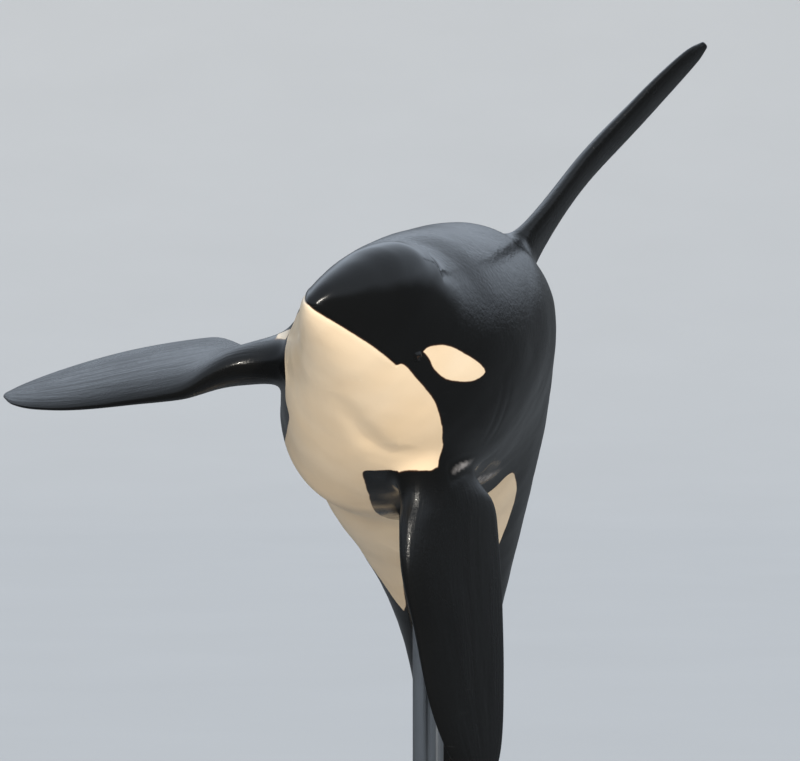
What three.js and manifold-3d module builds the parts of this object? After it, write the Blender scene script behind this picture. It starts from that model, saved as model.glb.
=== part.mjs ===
// An adult male orca at life size, leaping, as a still display model on a plain stand.
// Millimetres, +Z up. The animal heads towards -Y and its left side is towards +X.
// The origin is the middle of the underside of the stand's base.
// A station is a place along the back: 0 at the snout, 1 at the notch between the flukes.
// An angle round the body is 0 on the left side, 90 on the back and -90 on the belly.

import * as THREE from 'three';
import { mergeVertices } from 'three/addons/utils/BufferGeometryUtils.js';
import Module from 'manifold-3d';

const wasm = await Module();
wasm.setup();

// Driving dimensions, in millimetres and degrees
const LENGTH = 7000;            // snout to the notch of the flukes
const GAP = 0.3;                // clearance between neighbouring pieces
const ROLL = 36.5;              // the back leans over to the animal's left
const PITCH = 7.5;              // the girth's axis points up this much at the head end
const GIRTH_STATION = 0.36;     // thickest station, the pivot of the pose
const GIRTH_PLACE = new THREE.Vector3(20, -200, 3440);
const SPINE_STEPS = 400;

// Body form: station, back above the spine, belly below it, half width, as shares of LENGTH
const FORM = [
  [0, 0, 0, 0],
  [0.003, 0.0082, 0.0062, 0.0058],
  [0.01, 0.0180, 0.0123, 0.0112],
  [0.02, 0.0280, 0.0183, 0.0172],
  [0.04, 0.0436, 0.0284, 0.0270],
  [0.06, 0.0565, 0.0380, 0.0348],
  [0.085, 0.0655, 0.0485, 0.0425],
  [0.11, 0.0677, 0.0590, 0.0508],
  [0.13, 0.0688, 0.0678, 0.0576],
  [0.15, 0.0735, 0.0758, 0.0640],
  [0.18, 0.0860, 0.0875, 0.0728],
  [0.24, 0.1055, 0.1040, 0.0825],
  [0.30, 0.1215, 0.1130, 0.0850],
  [0.36, 0.1250, 0.1115, 0.0848],
  [0.42, 0.1165, 0.1080, 0.0832],
  [0.50, 0.1025, 0.1040, 0.0780],
  [0.60, 0.0815, 0.0860, 0.0630],
  [0.70, 0.0605, 0.0630, 0.0460],
  [0.80, 0.0415, 0.0410, 0.0300],
  [0.88, 0.0290, 0.0280, 0.0195],
  [0.94, 0.0180, 0.0170, 0.0135],
  [0.975, 0.0105, 0.0100, 0.0110],
  [1, 0.0040, 0.0040, 0.0080],
];

// Pose of the spine: station, bend towards the belly, bend towards the left, in degrees
const BEND = [
  [0, -13, 20],
  [0.05, -8, 16.5],
  [0.1, -3, 11],
  [0.15, -2, 8.5],
  [0.2, 0, 6],
  [0.28, 1.5, 1],
  [0.36, 0, 0],
  [0.46, 12, 9],
  [0.56, 20, 15],
  [0.66, 28, 18],
  [0.76, 38, 21],
  [0.88, 54, 25],
  [1, 73, 28],
];

// Where the white underside meets the black back: station, angle round the body.
// From the snout to the gape this is the line of the mouth.
const SEAM = [
  [0, -8],
  [0.006, -4],
  [0.02, -3.5],
  [0.044, -4.5],
  [0.066, -6.5],
  [0.083, -8],
  [0.107, -7],
  [0.14, -11],
  [0.18, -18.5],
  [0.205, -27],
  [0.222, -45],
  [0.235, -60],
  [0.36, -60],
  [0.43, -20],
  [0.50, -6],
  [0.60, -8],
  [0.66, -24],
  [0.72, -60],
];

// Stations where the body is cut into its nodes
const CUT = { jaw: 0.11, neck: 0.205, chest: 0.34, girth: 0.46, loin: 0.58, stock: 0.72, tail: 0.84 };

// Rings of the body: first station, last station, steps between them
const RING_SPANS = [
  [0, CUT.jaw, 14],
  [CUT.jaw, CUT.neck, 7],
  [CUT.neck, CUT.chest, 7],
  [CUT.chest, CUT.girth, 7],
  [CUT.girth, CUT.loin, 7],
  [CUT.loin, CUT.stock, 7],
  [CUT.stock, CUT.tail, 6],
  [CUT.tail, 1, 9],
];
const SNOUT_CROWDING = 1.8;     // how much closer the rings lie at the snout
const SNOUT_STATION = 0.0004;   // first ring, a small round end
const UPPER_STEPS = 24;         // facets over the back, seam to seam
const LOWER_STEPS = 14;         // facets under the belly, seam to seam

// Body nodes: name, first station, last station
const UPPER_NODES = [
  ['head', 0, CUT.neck],
  ['torso_front', CUT.neck, CUT.chest],
  ['torso_middle', CUT.chest, CUT.girth],
  ['torso_rear', CUT.girth, CUT.loin],
  ['tail_root', CUT.loin, CUT.stock],
];
const LOWER_NODES = [
  ['lower_jaw', 0, CUT.jaw],
  ['throat', CUT.jaw, CUT.neck],
  ['chest', CUT.neck, CUT.chest],
  ['belly_front', CUT.chest, CUT.girth],
  ['belly_middle', CUT.girth, CUT.loin],
  ['belly_rear', CUT.loin, CUT.stock],
];
const WHOLE_NODES = [
  ['tail_stock_front', CUT.stock, CUT.tail],
  ['tail_stock_rear', CUT.tail, 1],
];

// Head
const LIP = { offset: 25, radius: 22, sink: 10, first: 0.0035, last: 0.081, steps: 12 };
const MOUTH_TRIM = { first: 150, last: 0.1, reach: 200, clear: 2.5 };
const EYE = { station: 0.0945, angle: 5.5, radius: 28, sink: 17 };
const LID = { radius: 33, tube: 9, stretch: 1.2, sink: 3 };
const EYE_PATCH = { station: 0.1385, angle: 13, long: 262, wide: 78, tilt: 5, depth: 45, reach: 120 };
const BLOWHOLE = { station: 0.116, angle: 86, radius: 62, tube: 14, half: 75, steps: 10 };

// Fins: outlines by share of the span, as distances in millimetres ahead of the span's line
const FIN_FACETS = 20;
const LEVEL = [[0, 0], [1, 0]];
const FLIPPER = {
  length: 1640,
  sections: 16,
  sink: 70,
  leading: [[0, 240], [0.05, 232], [0.1, 242], [0.17, 292], [0.3, 330], [0.5, 262], [0.7, 196], [0.85, 80], [0.95, -80], [1, -236]],
  trailing: [[0, -350], [0.05, -420], [0.1, -570], [0.17, -615], [0.3, -617], [0.5, -591], [0.7, -544], [0.85, -485], [0.95, -397], [1, -305]],
  thickness: [[0, 125], [0.3, 80], [0.7, 42], [0.95, 20], [1, 6]],
};
const FLIPPER_LEFT = {
  station: 0.225, side: 446, up: -357,
  span: [-0.159, 0.895, -1.011], chord: [0.922, -0.310, -0.254],
};
const FLIPPER_RIGHT = {
  station: 0.225, side: 438, up: -308,
  span: [-0.173, 0.917, -0.924], chord: [0.979, -0.162, -0.490],
  wash: [[0, 8], [0.15, 16], [0.35, -1], [0.65, -4], [1, -1]],
};
const DORSAL_FIN = {
  station: 0.40, up: 720, length: 1673, sections: 17, lean: -1.8, twist: 1.4,
  bow: [[0, 4], [0.15, -10], [0.4, -18], [0.7, 6], [1, 18]],
  wash: [[0, 0], [0.3, 5.3], [0.6, 0.2], [1, -8.7]],
  leading: [[0, 550], [0.1, 420], [0.3, 250], [0.6, 30], [0.85, -130], [0.95, -220], [1, -310]],
  trailing: [[0, -500], [0.1, -500], [0.3, -490], [0.6, -460], [0.85, -450], [0.95, -440], [1, -400]],
  thickness: [[0, 95], [0.1, 69], [0.3, 54], [0.5, 48], [0.7, 39], [0.85, 30], [0.95, 22], [1, 11]],
};
const FLUKE = {
  station: 0.955, length: 1050, sections: 14,
  leading: [[0, 400], [0.2, 280], [0.5, 80], [0.8, -180], [1, -420]],
  trailing: [[0, -250], [0.1, -330], [0.5, -420], [0.8, -460], [1, -460]],
  thickness: [[0, 60], [0.3, 32], [0.8, 14], [1, 5]],
};

// Stand
const BASE = { long: 2800, wide: 1500, thick: 60, corner: 200, edge: 8 };
const ROD = { radius: 60, facets: 32 };
const COLLAR = { radius: 130, height: 50, edge: 8 };
const PAD = { radius: 130, depth: 60, reach: 230 };
const ROD_PLACES = { front: [70, -480], rear: [10, 760] };

const COLORS = {
  black: { color: 0x17191c, roughness: 0.3 },
  white: { color: 0xe8dac2, roughness: 0.35 },
  eye: { color: 0x1c120c, roughness: 0.08 },
  base: { color: 0x4a4d50, roughness: 0.6 },
  steel: { color: 0x9aa0a5, roughness: 0.35, metalness: 0.9 },
  pad: { color: 0x202224, roughness: 0.8 },
};

const radians = THREE.MathUtils.degToRad;
const sum = (a, b, scale) => a.clone().addScaledVector(b, scale);

// A smooth curve through a table's points that never overshoots between them
function smoothTable(table, column, warp = (v) => v) {
  const x = table.map((row) => warp(row[0]));
  const y = table.map((row) => row[column]);
  const last = x.length - 1;
  const step = x.slice(1).map((v, i) => v - x[i]);
  const rise = step.map((h, i) => (y[i + 1] - y[i]) / h);
  const slope = x.map((_, i) => {
    if (i === 0 || i === last) {
      return rise[Math.min(i, last - 1)];
    }
    if (rise[i - 1] * rise[i] <= 0) {
      return 0;
    }
    const before = 2 * step[i] + step[i - 1];
    const after = step[i] + 2 * step[i - 1];
    return (before + after) / (before / rise[i - 1] + after / rise[i]);
  });
  return (at) => {
    const v = Math.min(Math.max(warp(at), x[0]), x[last]);
    let i = 0;
    while (i < last - 1 && v > x[i + 1]) {
      i += 1;
    }
    const t = (v - x[i]) / step[i];
    const start = (1 + 2 * t) * (1 - t) ** 2 * y[i] + t * (1 - t) ** 2 * step[i] * slope[i];
    const end = t * t * (3 - 2 * t) * y[i + 1] + t * t * (t - 1) * step[i] * slope[i + 1];
    return start + end;
  };
}

const backHeight = smoothTable(FORM, 1, Math.sqrt);
const bellyDepth = smoothTable(FORM, 2, Math.sqrt);
const halfWidth = smoothTable(FORM, 3, Math.sqrt);
const bendDown = smoothTable(BEND, 1);
const bendLeft = smoothTable(BEND, 2);
const seamAngle = smoothTable(SEAM, 1);

// Axes of the girth: forward, left and up through the back
function girthAxes() {
  const forward = new THREE.Vector3(0, -Math.cos(radians(PITCH)), Math.sin(radians(PITCH)));
  const level = new THREE.Vector3(1, 0, 0);
  const upright = new THREE.Vector3().crossVectors(forward, level);
  const up = upright.clone().multiplyScalar(Math.cos(radians(ROLL)));
  up.addScaledVector(level, Math.sin(radians(ROLL)));
  const left = level.multiplyScalar(Math.cos(radians(ROLL)));
  left.addScaledVector(upright, -Math.sin(radians(ROLL)));
  return { forward, left, up };
}
const AXES = girthAxes();

// Directions at a station: towards the tail, to the left and up through the back
function spineAxes(station) {
  const down = radians(bendDown(station));
  const turn = radians(bendLeft(station));
  const tail = new THREE.Vector3();
  tail.addScaledVector(AXES.forward, -Math.cos(down) * Math.cos(turn));
  tail.addScaledVector(AXES.left, Math.sin(turn));
  tail.addScaledVector(AXES.up, -Math.sin(down) * Math.cos(turn));
  const up = new THREE.Vector3();
  up.addScaledVector(AXES.forward, -Math.sin(down));
  up.addScaledVector(AXES.up, Math.cos(down));
  up.addScaledVector(tail, -up.dot(tail)).normalize();
  const left = new THREE.Vector3().crossVectors(tail, up);
  return { tail, left, up };
}

// Centres of the spine from snout to notch, passing through the girth's place
function spineCentres() {
  const points = [new THREE.Vector3()];
  for (let i = 0; i < SPINE_STEPS; i += 1) {
    const { tail } = spineAxes((i + 0.5) / SPINE_STEPS);
    points.push(sum(points[i], tail, LENGTH / SPINE_STEPS));
  }
  const girth = points[Math.round(GIRTH_STATION * SPINE_STEPS)].clone();
  return points.map((point) => point.sub(girth).add(GIRTH_PLACE));
}
const CENTRES = spineCentres();

function spineCentre(station) {
  const place = Math.min(Math.max(station, 0), 1) * SPINE_STEPS;
  const i = Math.min(Math.floor(place), SPINE_STEPS - 1);
  return CENTRES[i].clone().lerp(CENTRES[i + 1], place - i);
}

// A point beside the spine: to the left and up, in millimetres
function besideSpine(station, left, up) {
  const axes = spineAxes(station);
  return sum(sum(spineCentre(station), axes.left, left), axes.up, up);
}

// A point of the skin, grown outwards by a clearance
function skinPoint(station, angle, grow = 0) {
  const turn = radians(angle);
  const height = (Math.sin(turn) > 0 ? backHeight(station) : bellyDepth(station)) * LENGTH;
  const across = (halfWidth(station) * LENGTH + grow) * Math.cos(turn);
  return besideSpine(station, across, (height + grow) * Math.sin(turn));
}

// The skin's own axes at a point: outwards, towards the tail and round the body
function skinAxes(station, angle) {
  const tail = skinPoint(station + 0.002, angle).sub(skinPoint(station - 0.002, angle)).normalize();
  const round = skinPoint(station, angle + 1).sub(skinPoint(station, angle - 1));
  round.addScaledVector(tail, -round.dot(tail)).normalize();
  const out = new THREE.Vector3().crossVectors(round, tail).normalize();
  if (out.dot(skinPoint(station, angle).sub(spineCentre(station))) < 0) {
    out.negate();
  }
  return { out, tail, round };
}

// Closed mesh from rings of points with flat ends. flipped(j) turns facet j's diagonal.
function loftGeometry(rings, flipped = () => false) {
  const count = rings[0].length;
  const positions = rings.flat().flatMap((p) => [p.x, p.y, p.z]);
  const indices = [];
  for (let i = 0; i < rings.length - 1; i += 1) {
    for (let j = 0; j < count; j += 1) {
      const a = i * count + j;
      const b = i * count + ((j + 1) % count);
      const c = b + count;
      const d = a + count;
      if (flipped(j)) {
        indices.push(a, b, d, b, c, d);
      } else {
        indices.push(a, b, c, a, c, d);
      }
    }
  }
  const capFaces = triangulateRing(rings[0]);
  capFaces.forEach(([a, b, c]) => indices.push(a, c, b));
  const lastRing = (rings.length - 1) * count;
  triangulateRing(rings[rings.length - 1]).forEach(([a, b, c]) => {
    indices.push(lastRing + a, lastRing + b, lastRing + c);
  });
  return outwardGeometry(positions, indices);
}

// Triangles over a flat ring, wound as the ring is
function triangulateRing(ring) {
  const centre = ring.reduce((total, p) => total.add(p), new THREE.Vector3()).divideScalar(ring.length);
  const normal = new THREE.Vector3();
  ring.forEach((p, i) => {
    const next = ring[(i + 1) % ring.length];
    normal.add(p.clone().sub(centre).cross(next.clone().sub(centre)));
  });
  normal.normalize();
  const first = ring[0].clone().sub(centre).normalize();
  const second = new THREE.Vector3().crossVectors(normal, first);
  const outline = ring.map((p) => {
    const offset = p.clone().sub(centre);
    return new THREE.Vector2(offset.dot(first), offset.dot(second));
  });
  return THREE.ShapeUtils.triangulateShape(outline, []);
}

// Indexed geometry with its faces turned outwards
function outwardGeometry(positions, indices) {
  const corner = (k) => new THREE.Vector3().fromArray(positions, 3 * indices[k]);
  let volume = 0;
  for (let k = 0; k < indices.length; k += 3) {
    volume += corner(k).dot(corner(k + 1).cross(corner(k + 2)));
  }
  const faces = indices.slice();
  if (volume < 0) {
    for (let k = 0; k < faces.length; k += 3) {
      [faces[k + 1], faces[k + 2]] = [faces[k + 2], faces[k + 1]];
    }
  }
  const geometry = new THREE.BufferGeometry();
  geometry.setAttribute('position', new THREE.Float32BufferAttribute(positions, 3));
  geometry.setIndex(faces);
  return geometry;
}

// A manifold solid from a closed geometry
function solidOf(geometry) {
  const bare = geometry.clone();
  bare.deleteAttribute('normal');
  bare.deleteAttribute('uv');
  const merged = mergeVertices(bare, 1e-4);
  const index = merged.index.array;
  const faces = [];
  for (let k = 0; k < index.length; k += 3) {
    const [a, b, c] = [index[k], index[k + 1], index[k + 2]];
    if (a !== b && b !== c && c !== a) {
      faces.push(a, b, c);
    }
  }
  return new wasm.Manifold(new wasm.Mesh({
    numProp: 3,
    vertProperties: Float32Array.from(merged.attributes.position.array),
    triVerts: Uint32Array.from(faces),
  }));
}

// A geometry from a solid, keeping only its largest closed piece
function geometryOf(solid) {
  const pieces = solid.decompose();
  const largest = pieces.reduce((best, piece) => (piece.volume() > best.volume() ? piece : best));
  const mesh = largest.getMesh();
  const geometry = new THREE.BufferGeometry();
  geometry.setAttribute('position', new THREE.Float32BufferAttribute(mesh.vertProperties, 3));
  geometry.setIndex(Array.from(mesh.triVerts));
  return geometry;
}

const group = new THREE.Group();

function addNode(name, geometry, finish) {
  const plain = geometry.index ? geometry.toNonIndexed() : geometry;
  plain.computeVertexNormals();
  const mesh = new THREE.Mesh(plain, new THREE.MeshStandardMaterial(COLORS[finish]));
  mesh.name = name;
  group.add(mesh);
}

// Stations of the body's rings, closer together at the snout
function ringStations() {
  const stations = [SNOUT_STATION];
  RING_SPANS.forEach(([first, last, steps]) => {
    for (let k = 1; k <= steps; k += 1) {
      const share = first === 0 ? (k / steps) ** SNOUT_CROWDING : k / steps;
      stations.push(first + (last - first) * share);
    }
  });
  return stations;
}
const STATIONS = ringStations();

const spread = (from, to, steps) => Array.from({ length: steps + 1 }, (_, k) => from + ((to - from) * k) / steps);

// Angles over the back, and angles under the belly, both starting at the seam
function upperAngles(station) {
  const seam = seamAngle(station);
  return spread(seam, 180 - seam, UPPER_STEPS);
}

function lowerAngles(station) {
  const seam = seamAngle(station);
  return spread(180 - seam, 360 + seam, LOWER_STEPS);
}

const RING_POINTS = {
  upper: (station) => upperAngles(station).map((angle) => skinPoint(station, angle)),
  lower: (station) => {
    const down = spineAxes(station).up.multiplyScalar(-GAP);
    return lowerAngles(station).map((angle) => skinPoint(station, angle).add(down));
  },
  whole: (station, grow) => {
    const angles = [...upperAngles(station), ...lowerAngles(station).slice(1, -1)];
    return angles.map((angle) => skinPoint(station, angle, grow));
  },
};

// Part of the body between two stations; its first ring keeps clear of the piece before it
function bodyLength(kind, first, last, grow = 0) {
  const inside = STATIONS.filter((station) => station > first + 1e-6 && station < last - 1e-6);
  const start = first === 0 ? STATIONS[0] : first;
  const rings = [start, ...inside, last].map((station) => RING_POINTS[kind](station, grow));
  if (first > 0 && grow === 0) {
    const { tail } = spineAxes(first);
    rings[0].forEach((point) => point.addScaledVector(tail, GAP));
  }
  const seamFacet = kind === 'lower' ? LOWER_STEPS : -1;
  return loftGeometry(rings, (j) => j === seamFacet);
}

// The body's outside grown by the clearance, to cut what meets it
const CLEARANCE = GAP + 0.1;
const clearOfBody = (first, last) => solidOf(bodyLength('whole', first, last, CLEARANCE));

// A tube along a smooth curve through points
function tubeSolid(points, radius, steps) {
  const circle = new THREE.Shape().absarc(0, 0, radius, 0, 2 * Math.PI);
  const path = new THREE.CatmullRomCurve3(points, false, 'centripetal');
  const options = { steps, curveSegments: 3, bevelEnabled: false, extrudePath: path };
  return solidOf(new THREE.ExtrudeGeometry(circle, options));
}

// A placed copy of a geometry: its X, Y and Z go along the three axes
function placed(geometry, x, y, z, origin) {
  const matrix = new THREE.Matrix4().makeBasis(x, y, z).setPosition(origin);
  return geometry.clone().applyMatrix4(matrix);
}

const mirrorAngle = (angle, side) => (side > 0 ? angle : 180 - angle);

// The space across the mouth from a lip, to trim its bead at the line of the mouth
function beyondMouth(above) {
  const { first, last, reach, clear } = MOUTH_TRIM;
  const stations = STATIONS.filter((station) => station < last);
  const rings = stations.map((station) => {
    const seam = radians(seamAngle(station));
    const level = bellyDepth(station) * LENGTH * Math.sin(seam) + above * clear;
    const half = halfWidth(station) * LENGTH + reach;
    const far = level - above * reach;
    const corners = [[half, level], [-half, level], [-half, far], [half, far]];
    return corners.map(([left, up]) => besideSpine(station, left, up));
  });
  const ahead = spineAxes(0).tail.multiplyScalar(-first);
  rings.unshift(rings[0].map((point) => point.clone().add(ahead)));
  return solidOf(loftGeometry(rings));
}

// The bead of a lip, from one corner of the mouth round the snout to the other
function lipSolid(above) {
  const along = spread(LIP.last, LIP.first, LIP.steps);
  const sidePoints = (side) => along.map((station) => {
    const width = Math.max(halfWidth(station) * LENGTH, LIP.offset * 1.5);
    const shift = THREE.MathUtils.radToDeg(Math.asin(LIP.offset / width)) * above;
    const angle = mirrorAngle(seamAngle(station) + shift, side);
    const point = skinPoint(station, angle);
    return point.addScaledVector(skinAxes(station, angle).out, -LIP.sink);
  });
  const left = sidePoints(1);
  const right = sidePoints(-1).reverse();
  const bead = tubeSolid([...left, ...right], LIP.radius, 3 * LIP.steps);
  return bead.subtract(beyondMouth(above));
}

function eyeCentre(side) {
  const angle = mirrorAngle(EYE.angle, side);
  const { out } = skinAxes(EYE.station, angle);
  return skinPoint(EYE.station, angle).addScaledVector(out, -EYE.sink);
}

// An eyeball, or its socket when grown
function eyeball(side, grow) {
  const { x, y, z } = eyeCentre(side);
  return new THREE.SphereGeometry(EYE.radius + grow, 18, 12).translate(x, y, z);
}

// The raised rim of the lids round an eye
function lidSolid(side) {
  const angle = mirrorAngle(EYE.angle, side);
  const { out, tail } = skinAxes(EYE.station, angle);
  const across = new THREE.Vector3().crossVectors(out, tail);
  const origin = skinPoint(EYE.station, angle).addScaledVector(out, -LID.sink);
  const ring = new THREE.TorusGeometry(LID.radius, LID.tube, 6, 24).scale(LID.stretch, 1, 1);
  return solidOf(placed(ring, tail, across, out, origin));
}

// A block whose outline is the white patch behind an eye, grown when it cuts the pocket
function patchBlock(side, grow) {
  const angle = mirrorAngle(EYE_PATCH.angle, side);
  const { out, tail, round } = skinAxes(EYE_PATCH.station, angle);
  const lift = radians(EYE_PATCH.tilt);
  const upward = round.multiplyScalar(side);
  const long = tail.clone().multiplyScalar(Math.cos(lift)).addScaledVector(upward, Math.sin(lift));
  const wide = new THREE.Vector3().crossVectors(out, long);
  const outline = new THREE.Shape();
  outline.absellipse(0, 0, EYE_PATCH.long + grow, EYE_PATCH.wide + grow, 0, 2 * Math.PI);
  const depth = EYE_PATCH.depth + grow;
  const options = { depth: depth + EYE_PATCH.reach, bevelEnabled: false, curveSegments: 12 };
  const block = new THREE.ExtrudeGeometry(outline, options);
  const origin = skinPoint(EYE_PATCH.station, angle).addScaledVector(out, -depth);
  return solidOf(placed(block, long, wide, out, origin));
}

// The crescent groove of the blowhole, its ends pointing forwards
function blowholeSolid() {
  const points = spread(-BLOWHOLE.half, BLOWHOLE.half, BLOWHOLE.steps).map((turn) => {
    const station = BLOWHOLE.station + (BLOWHOLE.radius * Math.cos(radians(turn))) / LENGTH;
    const around = BLOWHOLE.radius * Math.sin(radians(turn));
    const shift = THREE.MathUtils.radToDeg(around / (halfWidth(station) * LENGTH));
    return skinPoint(station, BLOWHOLE.angle + shift);
  });
  return tubeSolid(points, BLOWHOLE.tube, 2 * BLOWHOLE.steps);
}

function addHead() {
  let head = solidOf(bodyLength('upper', 0, CUT.neck));
  head = head.add(lipSolid(1));
  [1, -1].forEach((side) => {
    const name = side > 0 ? 'left' : 'right';
    addNode(`eye_patch_${name}`, geometryOf(head.intersect(patchBlock(side, 0))), 'white');
    head = head.add(lidSolid(side)).subtract(patchBlock(side, GAP));
    head = head.subtract(solidOf(eyeball(side, GAP)));
    addNode(`eye_${name}`, eyeball(side, 0), 'eye');
  });
  addNode('head', geometryOf(head.subtract(blowholeSolid())), 'black');
}

function addBody() {
  addHead();
  UPPER_NODES.slice(1).forEach(([name, first, last]) => {
    addNode(name, bodyLength('upper', first, last), 'black');
  });
  LOWER_NODES.slice(1).forEach(([name, first, last]) => {
    addNode(name, bodyLength('lower', first, last), 'white');
  });
  WHOLE_NODES.forEach(([name, first, last]) => {
    addNode(name, bodyLength('whole', first, last), 'black');
  });
  const jaw = solidOf(bodyLength('lower', 0, CUT.jaw)).add(lipSolid(-1));
  addNode('lower_jaw', geometryOf(jaw), 'white');
}

// Rings of a fin whose sections are round in front and thin behind
function finSolid(fin, root, span, chord) {
  const normal = new THREE.Vector3().crossVectors(span, chord).normalize();
  const lead = smoothTable(fin.leading, 1);
  const trail = smoothTable(fin.trailing, 1);
  const thick = smoothTable(fin.thickness, 1);
  const bow = smoothTable(fin.bow ?? LEVEL, 1);
  const wash = smoothTable(fin.wash ?? LEVEL, 1);
  const rings = spread(0, 1, fin.sections).map((share) => {
    const along = 1 - (1 - share) ** 1.5;
    const middle = (lead(along) + trail(along)) / 2;
    const half = (lead(along) - trail(along)) / 2;
    const centre = sum(sum(root, span, along * fin.length), normal, bow(along));
    const turned = radians(wash(along));
    const ahead = sum(chord.clone().multiplyScalar(Math.cos(turned)), normal, Math.sin(turned));
    const aside = sum(normal.clone().multiplyScalar(Math.cos(turned)), chord, -Math.sin(turned));
    return spread(0, 2 * Math.PI, FIN_FACETS).slice(0, -1).map((turn) => {
      const forward = Math.cos(turn);
      const side = thick(along) * Math.sin(turn) * (1 + 0.35 * forward);
      return sum(sum(centre, ahead, middle + half * forward), aside, side);
    });
  });
  if (fin.sink) {
    rings.unshift(rings[0].map((point) => sum(point, span, -fin.sink)));
  }
  return solidOf(loftGeometry(rings, (j) => j >= FIN_FACETS / 2));
}

// A direction from shares along the forward, left and up axes of a station
function localDirection(station, [forward, left, up]) {
  const axes = spineAxes(station);
  const direction = new THREE.Vector3().addScaledVector(axes.tail, -forward);
  return direction.addScaledVector(axes.left, left).addScaledVector(axes.up, up).normalize();
}

function squareTo(direction, axis) {
  return direction.clone().addScaledVector(axis, -direction.dot(axis)).normalize();
}

function addFlipper(name, side, place) {
  const mirrored = ([forward, left, up]) => [forward, left * side, up];
  const root = besideSpine(place.station, place.side * side, place.up);
  const span = localDirection(place.station, mirrored(place.span));
  const chord = squareTo(localDirection(place.station, mirrored(place.chord)), span);
  const fin = finSolid({ ...FLIPPER, wash: place.wash }, root, span, chord);
  addNode(name, geometryOf(fin.subtract(clearOfBody(CUT.jaw, CUT.girth))), 'black');
}

function addDorsalFin() {
  const { tail, left, up } = spineAxes(DORSAL_FIN.station);
  const root = besideSpine(DORSAL_FIN.station, 0, DORSAL_FIN.up);
  const lean = radians(DORSAL_FIN.lean);
  const twist = radians(DORSAL_FIN.twist);
  const span = up.multiplyScalar(Math.cos(lean)).addScaledVector(left, Math.sin(lean));
  const ahead = tail.multiplyScalar(-Math.cos(twist)).addScaledVector(left, -Math.sin(twist));
  const fin = finSolid(DORSAL_FIN, root, span, squareTo(ahead, span));
  addNode('dorsal_fin', geometryOf(fin.subtract(clearOfBody(CUT.neck, CUT.loin))), 'black');
}

function addFluke(name, side) {
  const { tail, left, up } = spineAxes(FLUKE.station);
  const outwards = left.multiplyScalar(side);
  const root = sum(spineCentre(FLUKE.station), outwards, GAP / 2);
  const fin = finSolid(FLUKE, root, outwards, tail.negate());
  addNode(name, geometryOf(fin.subtract(clearOfBody(CUT.stock, 1))), 'black');
}

function addFins() {
  addFlipper('flipper_left', 1, FLIPPER_LEFT);
  addFlipper('flipper_right', -1, FLIPPER_RIGHT);
  addDorsalFin();
  addFluke('fluke_left', 1);
  addFluke('fluke_right', -1);
}

// The height of the lowest skin over a round spot on the floor
function undersideHeight(x, y, radius) {
  const heights = STATIONS.flatMap((station) => spread(-160, -20, 70).map((angle) => skinPoint(station, angle)))
    .filter((point) => Math.hypot(point.x - x, point.y - y) < radius)
    .map((point) => point.z);
  return Math.min(...heights);
}

// A standing cylinder from one height to another
function standingCylinder(radius, x, y, low, high) {
  const cylinder = new THREE.CylinderGeometry(radius, radius, high - low, ROD.facets);
  return cylinder.rotateX(Math.PI / 2).translate(x, y, (low + high) / 2);
}

function addBase() {
  const halfLong = BASE.long / 2 - BASE.corner;
  const halfWide = BASE.wide / 2 - BASE.corner;
  const radius = BASE.corner - BASE.edge;
  const outline = new THREE.Shape();
  outline.absarc(halfWide, halfLong, radius, 0, Math.PI / 2);
  outline.absarc(-halfWide, halfLong, radius, Math.PI / 2, Math.PI);
  outline.absarc(-halfWide, -halfLong, radius, Math.PI, 1.5 * Math.PI);
  outline.absarc(halfWide, -halfLong, radius, 1.5 * Math.PI, 2 * Math.PI);
  const plate = new THREE.ExtrudeGeometry(outline, {
    depth: BASE.thick - 2 * BASE.edge,
    bevelThickness: BASE.edge,
    bevelSize: BASE.edge,
    bevelSegments: 1,
    curveSegments: 6,
  });
  addNode('stand_base', geometryOf(solidOf(plate.translate(0, 0, BASE.edge))), 'base');
}

// A ring round the foot of a rod
function collarGeometry(x, y, low) {
  const inner = ROD.radius + GAP;
  const { radius, height, edge } = COLLAR;
  const profile = [[inner, 0], [radius, 0], [radius, height - edge], [radius - edge, height], [inner, height], [inner, 0]];
  const points = profile.map(([across, up]) => new THREE.Vector2(across, up));
  return new THREE.LatheGeometry(points, ROD.facets).rotateX(Math.PI / 2).translate(x, y, low);
}

function addRod(name, [x, y]) {
  const belly = undersideHeight(x, y, PAD.radius);
  const floor = BASE.thick + GAP;
  const top = belly - PAD.depth;
  addNode(`stand_collar_${name}`, geometryOf(solidOf(collarGeometry(x, y, floor))), 'steel');
  addNode(`stand_rod_${name}`, standingCylinder(ROD.radius, x, y, floor, top), 'steel');
  const block = solidOf(standingCylinder(PAD.radius, x, y, top + GAP, belly + PAD.reach));
  addNode(`stand_pad_${name}`, geometryOf(block.subtract(clearOfBody(CUT.neck, CUT.tail))), 'pad');
}

addBody();
addFins();
addBase();
addRod('front', ROD_PLACES.front);
addRod('rear', ROD_PLACES.rear);

export default group;
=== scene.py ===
# The orca as a life-size display model: one skin over the frame, its eyes, the stand, light and camera
import math

import bmesh
import bpy
import numpy as np
from mathutils import Matrix, Vector


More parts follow.
